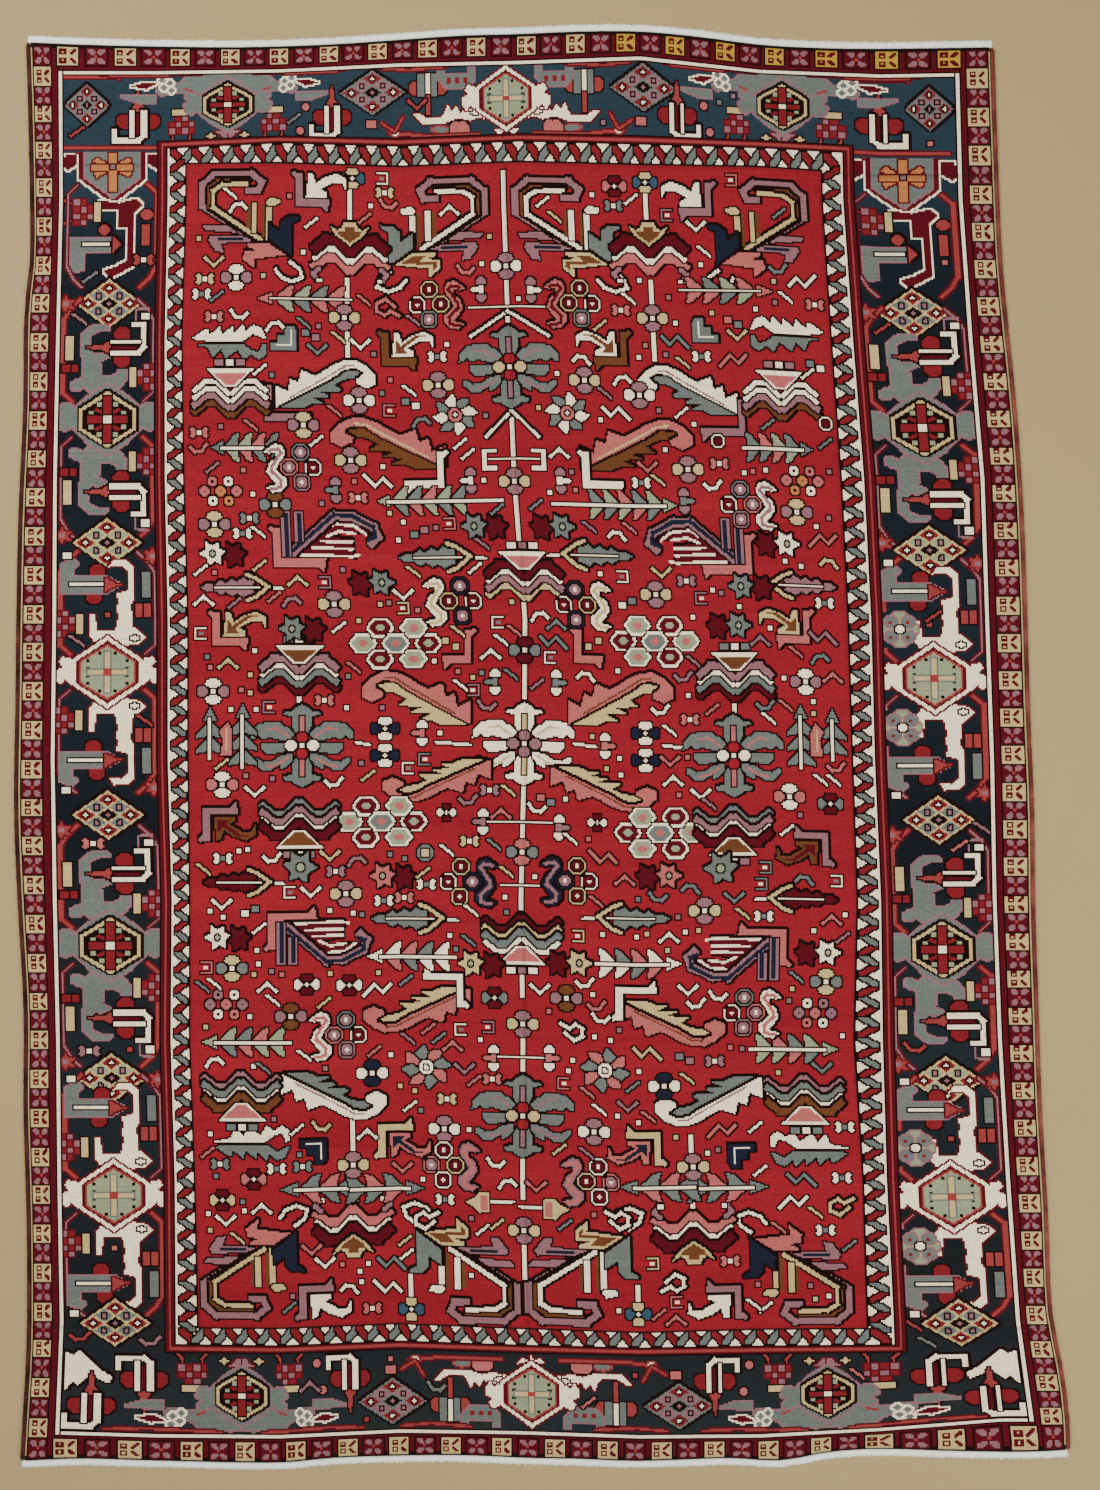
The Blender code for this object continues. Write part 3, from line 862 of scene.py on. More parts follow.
@dataclass
class Frame:
    """The rug's four bands outside the red field."""

    chart: Chart
    field_side: float = 226.5
    field_end: float = 386.5
    guard_side: float = 239.5
    guard_end: float = 398.5
    line_side: float = 308.5
    line_top: float = 453.5
    line_bottom: float = -458.5
    side: float = 329.0
    top: float = 471.0
    bottom: float = -475.0
    box_across: float = 319.6
    box_top: float = 462.6
    box_bottom: float = -466.8
    leaf_pitch_end: float = 7.5
    leaf_pitch_side: float = 6.8
    middle_side: float = 275.0
    middle_top: float = 428.0
    middle_bottom: float = -431.0
    corner_box: float = 13.5
    side_boxes: tuple[int, int] = (71, 73)
    end_boxes: int = 37
    gold_from: int = 23
    small_yarns: tuple[Yarn, ...] = (CORAL, ROSE, LILAC, CORAL, GREY)
    strewn: tuple = ((8, 6, 6000, (squares, hook, zigzag)), (5, 4, 7000, (vee, hook, tuft)),
                     (3, 3, 4000, (dash, bead)))

    def draw(self) -> None:
        """Draws the broad border first, then the bands on both sides of it."""
        pen = Pen(self.chart)
        pen.fill(GROUND, bar(-self.line_side, self.line_bottom, self.line_side, self.line_top))
        self.sides()
        self.ends()
        self.strewing().draw(self.chart)
        self.chart.knots[self.chart.knots == RED] = BRICK
        for yarn, side, end, edge in (
                (MAROON, self.guard_side + 6, self.guard_end + 5, DARK),
                (CORAL, self.guard_side + 4.4, self.guard_end + 4, None),
                (MAROON, self.guard_side + 2.6, self.guard_end + 2.4, None),
                (IVORY, self.guard_side, self.guard_end, DARK),
                (DARK, self.field_side + 1, self.field_end + 1, None),
                (RED, self.field_side, self.field_end, DARK)):
            pen.fill(yarn, bar(-side, -end, side, end), edge=edge)
        self.ring(IVORY, self.line_side - 3.0, self.line_top - 3.0, self.line_bottom + 3.0)
        self.ring(MAROON, self.line_side, self.line_top, self.line_bottom)
        self.ring(CREAM, self.side - 2.0, self.top - 1.0, self.bottom + 1.0)
        self.ring(DARK, self.side - 0.6, self.top - 2.8, self.bottom + 2.8)
        self.boxes()
        self.guard()

    def strewing(self) -> "Strewing":
        """Gives the small figures that fill the gaps of the broad border."""
        return Strewing(5, GROUND, (8.0 - self.line_side, self.line_bottom + 8.0),
                        (self.line_side - 8.0, self.line_top - 8.0), self.small_yarns, self.strewn,
                        (self.guard_side + 10.0, self.guard_end + 10.0))

    def ring(self, yarn: Yarn, side: float, top: float, bottom: float) -> None:
        """Fills everything outside a rectangle.

        Args:
            yarn: The wool.
            side: Half the rectangle's width.
            top: Its top edge.
            bottom: Its bottom edge.
        """
        pen = Pen(self.chart)
        for part in (bar(-self.side, top, self.side, self.top),
                     bar(-self.side, self.bottom, self.side, bottom),
                     bar(-self.side, self.bottom, -side, self.top),
                     bar(side, self.bottom, self.side, self.top)):
            pen.fill(yarn, part)

    def boxes(self) -> None:
        """Draws the outer band's pale and red boxes in turn."""
        pen = Pen(self.chart)
        low = self.box_bottom + self.corner_box
        high = self.box_top - self.corner_box
        for side, count in zip((-1, 1), self.side_boxes):
            for i in range(count):
                place = pen.at(side * self.box_across, low + (high - low) * i / (count - 1))
                if i % 2:
                    red_box(place)
                else:
                    cream_box(place, CREAM)
        for height, gold_from in ((self.box_top, self.gold_from), (self.box_bottom, self.end_boxes)):
            for i in range(self.end_boxes):
                x = -self.box_across + 2.0 * self.box_across * i / (self.end_boxes - 1)
                if i % 2 == 0:
                    red_box(pen.at(x, height))
                else:
                    cream_box(pen.at(x, height), GOLD if i >= gold_from else CREAM)

    def guard(self) -> None:
        """Draws the slanted leaves of the ivory guard band."""
        middle_side = (self.field_side + self.guard_side) / 2.0
        middle_end = (self.field_end + self.guard_end) / 2.0
        count = int(2.0 * middle_side / self.leaf_pitch_end)
        for end in (-1, 1):
            for i in range(count + 1):
                self.leaf(-middle_side + 2.0 * middle_side * i / count, end * middle_end, i,
                          ((-4.6, 4.8), (-1.2, 4.8), (4.6, -2.2), (4.6, -4.8), (1.2, -4.8),
                           (-4.6, 2.2)))
        count = int(2.0 * middle_end / self.leaf_pitch_side)
        for side in (-1, 1):
            for i in range(1, count):
                self.leaf(side * middle_side, -middle_end + 2.0 * middle_end * i / count, i,
                          ((-4.4, -3.8), (-4.4, -1.4), (2.4, 3.8), (4.4, 3.8), (4.4, 1.4),
                           (-2.4, -3.8)))

    def leaf(self, x: float, y: float, number: int, outline: Outline) -> None:
        """Draws one leaf of the guard band, grey ones leaning the other way."""
        is_grey = number % 2
        pen = Pen(self.chart, x, y, -1 if is_grey else 1)
        pen.fill(GREY if is_grey else BRICK, outline)

    def sides(self) -> None:
        """Draws what stands in the broad border's two long sides."""
        for side in (-1, 1):
            self.corners(side)
            for y, kind in SIDE_FIGURES:
                place = Pen(self.chart, side * self.middle_side, y)
                if kind is Medallion.DIAMOND:
                    diamond_medallion(place.at(0, 0, 0.86, 0.84), CREAM, GREEN if y % 2 else GREY)
                    continue
                framing(place)
                group = cross_group if kind is Medallion.CROSS else ivory_group
                group(place)
                if y != SIDE_FIGURES[0][0]:
                    group(place.at(0, 0, 1, -1))
                if side > 0 and kind is Medallion.IVORY:
                    for height in (-33, 33):
                        big_rosette(place.at(-19, height))
                is_cross = kind is Medallion.CROSS
                (cross_medallion if is_cross else turtle)(place.at(0, 0, 0.92, 0.94))
                lean = -1 if is_cross else 1
                for height in (-77, 77) if y != SIDE_FIGURES[-2][0] else (77,):
                    coral_star(place.at(lean * 27.0, height))

    def ends(self) -> None:
        """Draws what stands in the broad border's two ends."""
        for x, kind in END_FIGURES:
            for y, along in ((self.middle_top, 1), (self.middle_bottom, -1)):
                place = Pen(self.chart, x, y, 1 if x < 0 else -1, along)
                if kind is Medallion.CROSS:
                    end_cross(place)
                    cross_medallion(place.at(0, 0, 0.92, 0.76))
                elif kind is Medallion.IVORY:
                    end_turtle(place)
                    turtle(place.at(0, 0, 0.95, 0.86))
                else:
                    diamond_medallion(place.at(0, 6, 0.98, 0.76), GREY, LILAC)

    def corners(self, side: int) -> None:
        """Draws the half flower at the top of a side and the flag and jugs at its foot.

        Args:
            side: -1 for the left, 1 for the right.
        """
        top = Pen(self.chart, side * 274.0, 385.0)
        top.pair(MAROON, ((14, -2), (22, 2), (28, -2), (32, 2), (29, 10), (20, 10), (14, 6)), edge=IVORY)
        top.fill(MAROON, ((-21, -8), (0, -25), (21, -8), (21, 12), (-21, 12)), edge=IVORY)
        top.fill(GREY, ((-17, -7), (0, -20), (17, -7), (17, 12), (-17, 12)), edge=LILAC)
        top.pair(ORANGE, ((3, 2), (10, 7), (12, 4), (5, 0), (12, -4), (10, -7), (3, -3)), edge=MAROON)
        top.fill(ORANGE, bar(-2.4, -16, 2.4, 11), bar(-13, -2, 13, 1.6), edge=MAROON)
        top.fill(LILAC, bar(-1.6, -1.6, 1.6, 1.6))
        top.fill(MAROON, ((-8, -22), (-10, -28), (4, -29), (4, -40), (10, -40), (10, -62), (3, -66),
                (-5, -69), (0, -74), (14, -66), (14, -30), (19, -26), (15, -21), (4, -24)), edge=IVORY)
        top.fill(GREY, ((-25, -47), (0, -47), (0, -56), (-18, -56), (-17, -68), (-25, -70)), edge=LILAC)
        top.fill(IVORY, bar(-18, -52.6, -1, -50.6))
        top.fill(CORAL, ((1, -46), (6, -51), (1, -57)), disc(-5, -42, 3.6))
        top.fill(CORAL, bar(19, -52, 24, -38), disc(21.6, -32, 4))
        checker(top.at(-14, -30, -1))
        framing(top)
        top.lay(GROUND, bar(-31, 12, 33, 80))
        top.line(CORAL, ((-31, 15), (27, 15)), 2.0, MAROON)
        top.line(CORAL, ((-31, 64), (4, 63)), 2.0, MAROON)
        diamond_medallion(Pen(self.chart, side * 290.0, 429.0, 0.58, 0.76), GREY, LILAC)
        low = Pen(self.chart, side * 290.0, -412.0, -side)
        low.fill(IVORY, ((-14, 8), (-9, 6), (-5, 9), (3, 1), (8, -4), (14, -8), (12, -12), (4, -8),
                (-2, -9), (-6, -13), (-9, -11), (-13, -17)))
        jug(low.at(2, -18, 1, 1, 3))


SIDE_FIGURES = (
    (294, Medallion.DIAMOND), (217, Medallion.CROSS), (135, Medallion.DIAMOND),
    (49, Medallion.IVORY), (-46, Medallion.DIAMOND), (-133, Medallion.CROSS),
    (-221, Medallion.DIAMOND), (-299, Medallion.IVORY), (-384, Medallion.DIAMOND),
)

END_FIGURES = (
    (-197, Medallion.CROSS), (-93, Medallion.DIAMOND), (3, Medallion.IVORY),
    (101, Medallion.DIAMOND), (200, Medallion.CROSS),
)


class Pair(NamedTuple):
    """A motif that stands in both halves of the field, not quite mirrored."""

    motif: Callable[..., None]
    yarns: tuple[Yarn, ...]
    left: Point | None
    right: Point | None
    across: float = 1.0
    along: float = 1.0


def pairs(motif: Callable[..., None], *rows: tuple) -> tuple[Pair, ...]:
    """Gives the rows of one motif: yarns, left place, right place and size factors."""
    return tuple(Pair(motif, *row) for row in rows)


GREAT_LEAVES = (
    *pairs(scroll,
           ((LILAC, IVORY, BROWN, BROWN, GREY), (-83, 319), (77, 318), -1, 0.95),
           ((LILAC, CREAM, BROWN, ROSE, NAVY), (-151, 324), (149, 320), 0.93, 0.93),
           ((LILAC, IVORY, BROWN, BROWN, GREY), (-75, -323), (71, -322), -1, -1),
           ((LILAC, CREAM, BROWN, ROSE, NAVY), (-157, -322), (150, -325), 0.95, -0.95)),
    *pairs(toothed_leaf,
           ((IVORY, GREY, LILAC), (-162, 225), (158, 222), -0.95, 0.9),
           ((ROSE, BROWN, CREAM), (-47, 185), (47, 184), 1.08, 0.95),
           ((ROSE, CREAM, BROWN), (-37, 14), (31, 15), 1.0, 1.0),
           ((ROSE, CREAM, BROWN), (-23, -10), (19, -14), 1.0, -0.8),
           ((ROSE, CREAM, BROWN), (-36, -162), (66, -168), 1.0, -0.85),
           ((IVORY, GREY, LILAC), (-166, -218), (162, -219), -1, -0.9)),
    *pairs(split_leaf,
           ((IVORY, GREY), (-195, 268), (197, 276), 0.98, 1),
           ((GREY, IVORY), (-187, -264), (193, -267), 0.98, -1)),
    *pairs(striped_leaf,
           ((ROSE, NAVY, IVORY, MAROON), (-167, 119), (162, 116), -0.95, 1),
           ((ROSE, NAVY, IVORY, MAROON), (-173, -111), (180, -120), -0.9, -0.95)),
    *pairs(corner_bar,
           ((IVORY, 24, 26), (-48, 172), (48, 172)), ((IVORY, 22, 26), (-40, -152), (64, -158), 1, -1),
           ((LILAC, 24, 30), (-170, 216), (163, 208), -1, 1)),
)

FLOWERS = (
    Pair(big_flower, (GREY, RED, IVORY, ROSE), (-150, 0), (145, -5)),
    *pairs(seven_hexagons,
           ((GREEN, ROSE, GREY), (-87, 68), (91, 71)), ((GREEN, ROSE, GREY), (-96, -51), (94, -56))),
    *pairs(crown_palmette,
           ((MAROON, BROWN, ROSE), (-110, 335), (102, 335)),
           ((MAROON, BROWN, ROSE), (-118, -328), (113, -329), 1, -1)),
    *pairs(side_palmette,
           ((IVORY, LILAC, BROWN, ROSE), (-194, 240), (189, 241)),
           ((LILAC, GREY, MAROON, BROWN), (-152, 56), (147, 53)),
           ((MAROON, LILAC, GREY, BROWN), (-152, -58), (144, -61), 1, -1),
           ((BROWN, GREY, LILAC, ROSE), (-193, -239), (191, -240), 1, -1)),
    *pairs(leaf_feather,
           ((GREY,), (-34, 125), (30, 127), 0.9, 1), ((GREY,), (-54, -116), (52, -113), 0.9, 1),
           ((LILAC,), (-172, 105), (174, 109), 0.85, 0.9),
           ((MAROON,), (-172, -91), (168, -100), 0.85, 0.9)),
    Pair(long_twig, (GREEN, GREY, ROSE), (-9, 163), (26, 161)),
    *pairs(twig,
           ((GREY, GREEN, ROSE), (-159, 198), (160, 200), 0.9, 1),
           ((ROSE, GREEN, GREY), (-110, 297), (123, 304), 1.2, 0.9),
           ((IVORY, ROSE, GREY), (-46, -141), (49, -143), 1.1, 1),
           ((GREEN, GREY, ROSE), (-159, -197), (156, -200), 1.1, 1)),
    *pairs(short_twig,
           ((GREY, ROSE), (-118, -295), (114, -292), 1.3, 1),
           ((GREY, ROSE), (-118, -296), (114, -291), -1.3, 1)),
    Pair(bush, (GREY, ROSE, CREAM), (-200, 6), (202, 8)),
    *pairs(rosette,
           ((CREAM, LILAC), (-114, 285), (102, 285)), ((CREAM, LILAC), (-50, 240), (52, 243)),
           ((IVORY, LILAC), (-105, 230), (90, 234)), ((CREAM, LILAC), (-112, 190), (121, 185)),
           ((LILAC, CREAM), (-144, 213), (195, 158)), ((CREAM, LILAC), (-128, 94), (93, 102)),
           ((LILAC, CREAM), (-207, 147), None), ((GREY, BROWN), (-165, 160), None),
           ((LILAC, IVORY), (-210, 36), (196, 45)), ((ROSE, IVORY), (-204, -26), (183, -32)),
           ((CREAM, LILAC), (-120, -99), (124, -108)), ((GREY, CREAM), (-198, -148), (207, -155)),
           ((LILAC, BROWN), (-158, -180), (30, -167)), ((IVORY, NAVY), (-103, -219), (96, -224)),
           ((IVORY, LILAC), (-54, -256), (48, -255)), ((CREAM, LILAC), (-117, -280), (114, -278)),
           ((NAVY, IVORY), (-94, 11), (84, 10), 0.9, 0.9), ((NAVY, IVORY), (-94, -7), (84, -8), 0.9, 0.9),
           ((IVORY, MAROON), (-52, -45), (51, -50), 0.6, 0.7), ((LILAC, IVORY), (-190, 311), None),
           ((BLUE, CREAM), (-79, -377), (75, -375), 0.8, 0.9),
           ((BLUE, CREAM), (-108, 378), (101, 375), 0.8, 0.8)),
    *pairs(floret,
           ((LILAC,), (-17, 303), (16, 302)), ((LILAC, IVORY), (-29, 176), (31, 176)),
           ((IVORY, GREY), (-19, 42), (21, 42)), ((IVORY, ROSE), (-68, 8), (55, 1)),
           ((IVORY, LILAC), (-26, -51), (24, -54)), ((IVORY, ROSE), (-19, -208), (17, -207)),
           ((LILAC, GREY), (-122, 170), (116, 164))),
    *pairs(star_flower,
           ((IVORY, GREY, ROSE), (-39, 220), (39, 221)),
           ((GREY, ROSE, IVORY), (-66, -215), (56, -214), 1.1, 1.1)),
)

SMALL_FIGURES = (
    Pair(c_bracket, (IVORY,), (-18, 190), (19, 190)),
    *pairs(twin_stars,
           ((GREY, MAROON), (-25, 145), (26, 145), -1, 1),
           ((IVORY, MAROON), (-204, 127), (182, 136), -1, 1),
           ((GREY, MAROON), (-152, 77), (145, 81), -1, 1), ((ROSE, MAROON), (-90, -88), (95, -85), -1, 1),
           ((IVORY, MAROON), (-203, -128), (203, -136), -1, 1),
           ((CREAM, MAROON), (-30, -146), (34, -144), -1, 1),
           ((GREY, MAROON), (-100, 108), (158, 107), 1, 1)),
    Pair(star, (GREY, GREEN), (-151, -81), (135, -80), 1.3, 1.3),
    *pairs(ell_arrow,
           ((BROWN, IVORY, BROWN), (-74, 266), (69, 266), -1, 1),
           ((ROSE, CREAM, BROWN), (-196, 79), (186, 83), -1, 1),
           ((LILAC, BROWN, MAROON), (-203, -53), (195, -67), -1, -1),
           ((LILAC, IVORY, IVORY), (-134, 371), (134, 366), -1, 1),
           ((LILAC, IVORY, IVORY), (-142, -371), (130, -369), -1, -1),
           ((CREAM, ROSE, NAVY), (-85, -265), (79, -266), -1, -1)),
    Pair(ell, (ROSE, CREAM), (-45, 66), (44, 67)),
    *pairs(disc_cluster,
           ((MAROON, ROSE, CREAM, CREAM, IVORY, GREY), (-54, 294), (51, 294)),
           ((CREAM, IVORY, NAVY, CREAM, IVORY, NAVY), (-43, 96), (37, 94), -1, 1),
           ((LILAC, IVORY, GREY, ROSE, IVORY, LILAC), (-147, 185), (157, 162), -1, 1),
           ((ROSE, IVORY, GREY, ROSE, IVORY, LILAC), (-121, -193), (152, -176), -1, 1),
           ((LILAC, NAVY, CREAM, NAVY, IVORY, CREAM), (-41, -91), (37, -89)),
           ((ROSE, LILAC, IVORY, CREAM, ROSE, IVORY), (-54, -280), (50, -288))),
    *pairs(nine_dots,
           ((ROSE, ORANGE), (-202, 169), (200, 179)), ((LILAC, ROSE), (-202, -172), (200, -176))),
    *pairs(stepped,
           ((GREY,), (-156, 271), (139, 278)), ((NAVY,), (-144, -270), (147, -271), 1, -1)),
    *pairs(ring,
           ((IVORY, MAROON), None, (143, 204)), ((GREY, CREAM), (-66, -72), None, 1.2, 1.2),
           ((IVORY, MAROON), None, (219, 218))),
    Pair(bud, (CREAM, ROSE), (-30, -304), (21, -307)),
    Pair(curl, (IVORY,), (-68, -316), (64, -312), 1, -1),
)


@dataclass
class RedField:
    """The flowers, leaves and small things strewn over the red field."""

    chart: Chart
    small_yarns: tuple[Yarn, ...] = (IVORY, IVORY, IVORY, CREAM, LILAC, ROSE, GREY)
    reach_side: float = 219.0
    reach_end: float = 379.0
    strewn: tuple = ((12, 9, 3000, (curl, quatrefoil, zigzag)),
                     (8, 7, 4000, (tuft, squares, hook, zigzag, vee, loop)),
                     (6, 4, 4000, (tuft, vee, hook, dash, loop)),
                     (3, 3, 4000, (dash, bead, bead)))

    def draw(self) -> None:
        """Draws the axis, then both halves from their tables, then the small filling."""
        pen = Pen(self.chart)
        self.axis(pen)
        for row in GREAT_LEAVES + FLOWERS + SMALL_FIGURES:
            for place, side in ((row.left, -1.0), (row.right, 1.0)):
                if place is not None:
                    row.motif(pen.at(place[0], place[1], side * row.across, row.along), *row.yarns)
        reach = (self.reach_side, self.reach_end)
        Strewing(11, RED, (-reach[0], -reach[1]), reach, self.small_yarns, self.strewn).draw(self.chart)

    def axis(self, pen: Pen) -> None:
        """Draws the stem and the flowers up the middle."""
        for high, low in ((380, 328), (311, 278), (224, 184), (168, 136), (98, 72), (54, 32),
                          (-26, -60), (-74, -108), (-154, -166), (-190, -218), (-276, -300),
                          (-328, -376)):
            stem(pen, high, low)
        for x, high, low in ((-110, 372, 350), (-112, 310, 293), (-112, 277, 249), (101, 372, 350),
                             (102, 309, 293), (102, 277, 258), (-117, -249, -274),
                             (-117, -287, -301), (113, -258, -275), (113, -288, -306),
                             (-79, -355, -369), (75, -357, -369), (-152, 32, 24), (146, 28, 20)):
            stem(pen.at(x, 0), high, low)
        for y, sides, ends in ((318, IVORY, LILAC), (175, CREAM, LILAC),
                               (63, GREY, MAROON), (-71, GREY, ROSE),
                               (-185, CREAM, LILAC), (-322, CREAM, LILAC)):
            rosette(pen.at(0, y), sides, ends)
        for x, y in ((-26, 272), (28, 272), (-18, 205), (18, 205)):
            pen.line(IVORY, ((0, 288 if y > 240 else 222), (x, y)), 1.8)
        for left, right in ((-60, -36), (34, 50), (-196, -186), (-114, -104), (96, 110)):
            pen.line(IVORY, ((left, 2), (right, 0)), 1.8)
        for y, reach in ((291, 27), (190, 19), (-51, 24), (-93, 14), (-207, 17)):
            pen.line(IVORY, ((-reach, y), (reach, y)), 1.8)
        big_flower(pen.at(0, 251), GREY, RED, CREAM, LILAC)
        big_flower(pen.at(0, 1), IVORY, LILAC, LILAC, CREAM)
        big_flower(pen.at(0, -246), GREY, RED, CREAM, LILAC)
        palmette(pen.at(2, 118), (MAROON, IVORY, LILAC, CREAM), ROSE, (IVORY, LILAC, IVORY))
        palmette(pen.at(0, -135, 1, -1), (IVORY, GREY, CREAM, MAROON), ROSE, (IVORY, LILAC, IVORY))


def draw_rug() -> Chart:
    """Draws the whole chart."""
    chart = Chart()
    Frame(chart).draw()
    RedField(chart).draw()
    return chart


class UprightGuide(NamedTuple):
    """Where the chart's upright lines lie at one height of the rug."""

    y: float
    left_line: float
    left_guard: float
    left_field: float
    axis: float
    right_field: float
    right_guard: float
    right_line: float


class LevelGuide(NamedTuple):
    """Where the chart's level lines lie at one place across the rug."""

    x: float
    top_line: float
    top_guard: float
    top_field: float
    bottom_field: float
    bottom_guard: float
    bottom_line: float


UPRIGHT_GUIDES = (
    UprightGuide(1.660, -1.173, -0.905, -0.860, -0.100, 0.667, 0.720, 1.010),
    UprightGuide(1.321, -1.171, -0.905, -0.860, -0.094, 0.674, 0.726, 1.019),
    UprightGuide(0.983, -1.179, -0.912, -0.870, -0.082, 0.696, 0.750, 1.043),
    UprightGuide(0.644, -1.186, -0.912, -0.865, -0.068, 0.720, 0.777, 1.072),
    UprightGuide(0.305, -1.188, -0.905, -0.855, -0.042, 0.737, 0.794, 1.083),
    UprightGuide(-0.034, -1.192, -0.905, -0.855, -0.044, 0.747, 0.803, 1.095),
    UprightGuide(-0.373, -1.187, -0.895, -0.851, -0.052, 0.759, 0.818, 1.101),
    UprightGuide(-0.711, -1.179, -0.898, -0.851, -0.047, 0.751, 0.823, 1.114),
    UprightGuide(-1.050, -1.176, -0.888, -0.839, -0.048, 0.773, 0.832, 1.134),
    UprightGuide(-1.389, -1.170, -0.886, -0.831, -0.040, 0.783, 0.849, 1.158),
    UprightGuide(-1.680, -1.182, -0.882, -0.829, -0.035, 0.788, 0.858, 1.199),
)

LEVEL_GUIDES = (
    LevelGuide(-1.216, 1.634, 1.442, 1.404, -1.404, -1.442, -1.666),
    LevelGuide(-0.926, 1.634, 1.442, 1.406, -1.404, -1.444, -1.675),
    LevelGuide(-0.635, 1.638, 1.456, 1.408, -1.406, -1.448, -1.677),
    LevelGuide(-0.345, 1.653, 1.448, 1.399, -1.394, -1.436, -1.663),
    LevelGuide(-0.055, 1.659, 1.460, 1.411, -1.406, -1.446, -1.667),
    LevelGuide(0.236, 1.670, 1.453, 1.404, -1.416, -1.453, -1.677),
    LevelGuide(0.526, 1.637, 1.444, 1.399, -1.408, -1.448, -1.675),
    LevelGuide(0.817, 1.626, 1.428, 1.379, -1.406, -1.446, -1.659),
    LevelGuide(1.107, 1.631, 1.428, 1.379, -1.404, -1.442, -1.635),
)


class Lie:
    """How the chart lies on the floor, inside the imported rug's own outline."""

    GUIDE_COLUMNS = (-328.5, -308.5, -239.5, -226.5, 0.0, 226.5, 239.5, 308.5, 328.5)
    GUIDE_ROWS = (-474.5, -458.5, -398.5, -386.5, 386.5, 398.5, 453.5, 470.5)
    ROUNDS = 4
    KNOT = 0.0036

    def __init__(self, body: bpy.types.Object) -> None:
        """Reads the rug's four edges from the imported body.

        Args:
            body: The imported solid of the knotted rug.
        """
        corners = np.empty(len(body.data.vertices) * 3)
        body.data.vertices.foreach_get("co", corners)
        corners = corners.reshape(-1, 3)
        thick = corners[:, 2].max()
        wall = np.abs(corners[:, 2] - thick / 2.0) < thick * 0.3
        ring = np.unique(corners[wall][:, :2].round(6), axis=0)
        ring = ring[np.argsort(np.arctan2(ring[:, 1], ring[:, 0]))]
        first = int(np.argmax(ring[:, 0] - ring[:, 1]))
        ring = np.roll(ring, -first, axis=0)
        top_right = int(np.argmax(ring[:, 0] + ring[:, 1]))
        top_left = int(np.argmin(ring[:, 0] - ring[:, 1]))
        bottom_left = int(np.argmin(ring[:, 0] + ring[:, 1]))
        self.right = ring[: top_right + 1]
        self.top = ring[top_right: top_left + 1][::-1]
        self.left = ring[top_left: bottom_left + 1][::-1]
        self.bottom = np.concatenate((ring[bottom_left:], ring[:1]))

    def edge_x(self, edge: np.ndarray, y: np.ndarray) -> np.ndarray:
        """Gives where a side edge lies at some heights."""
        return np.interp(y, edge[:, 1], edge[:, 0])

    def edge_y(self, edge: np.ndarray, x: np.ndarray) -> np.ndarray:
        """Gives where an end edge lies at some places across."""
        return np.interp(x, edge[:, 0], edge[:, 1])

    def between(self, marks: Sequence[float], lines: Sequence[np.ndarray],
                counts: np.ndarray) -> np.ndarray:
        """Places knot counts between the guide lines that they fall between."""
        after = np.clip(np.searchsorted(marks, counts), 1, len(marks) - 1)
        marks = np.array(marks)
        share = (counts - marks[after - 1]) / (marks[after] - marks[after - 1])
        stacked = np.stack(lines)
        pick = np.arange(counts.size)
        return stacked[after - 1, pick] * (1.0 - share) + stacked[after, pick] * share

    def place(self, across: np.ndarray, along: np.ndarray) -> tuple[np.ndarray, np.ndarray]:
        """Turns knot counts from the chart's middle into places on the floor.

        Args:
            across: Knots to the right, one for each point.
            along: Knots up, one for each point.

        Returns:
            X and Y of the points in metres.
        """
        x = across * self.KNOT
        y = along * self.KNOT
        heights = [g.y for g in reversed(UPRIGHT_GUIDES)]
        places = [g.x for g in LEVEL_GUIDES]
        for _ in range(self.ROUNDS):
            uprights = [
                np.interp(y, heights, [getattr(g, name) for g in reversed(UPRIGHT_GUIDES)])
                for name in UprightGuide._fields[1:]
            ]
            uprights = [self.edge_x(self.left, y)] + uprights + [self.edge_x(self.right, y)]
            x = self.between(self.GUIDE_COLUMNS, uprights, across)
            levels = [
                np.interp(x, places, [getattr(g, name) for g in LEVEL_GUIDES])
                for name in reversed(LevelGuide._fields[1:])
            ]
            levels = [self.edge_y(self.bottom, x)] + levels + [self.edge_y(self.top, x)]
            y = self.between(self.GUIDE_ROWS, levels, along)
        return x, y


class Wire:
    """A number on its way between shader nodes, with Python's own operators."""

    def __init__(self, bench: "Bench", socket: bpy.types.NodeSocket) -> None:
        """Wraps an output socket."""
        self.bench = bench
        self.socket = socket

    def __add__(self, other: "Wire | float") -> "Wire":
        """Adds."""
        return self.bench.maths("ADD", self, other)

    def __sub__(self, other: "Wire | float") -> "Wire":
        """Subtracts."""
        return self.bench.maths("SUBTRACT", self, other)

    def __rsub__(self, other: float) -> "Wire":
        """Subtracts this from a number."""
        return self.bench.maths("SUBTRACT", other, self)

    def __mul__(self, other: "Wire | float") -> "Wire":
        """Multiplies."""
        return self.bench.maths("MULTIPLY", self, other)

    def __truediv__(self, other: "Wire | float") -> "Wire":
        """Divides."""
        return self.bench.maths("DIVIDE", self, other)

    def __mod__(self, other: float) -> "Wire":
        """Gives the remainder, never negative."""
        return self.bench.maths("FLOORED_MODULO", self, other)

    def __lt__(self, other: float) -> "Wire":
        """Gives 1 where this is less, else 0."""
        return self.bench.maths("LESS_THAN", self, other)

    def __gt__(self, other: float) -> "Wire":
        """Gives 1 where this is more, else 0."""
        return self.bench.maths("GREATER_THAN", self, other)

    def floor(self) -> "Wire":
        """Rounds down."""
        return self.bench.maths("FLOOR", self)

    def wave(self) -> "Wire":
        """Gives the sine."""
        return self.bench.maths("SINE", self)


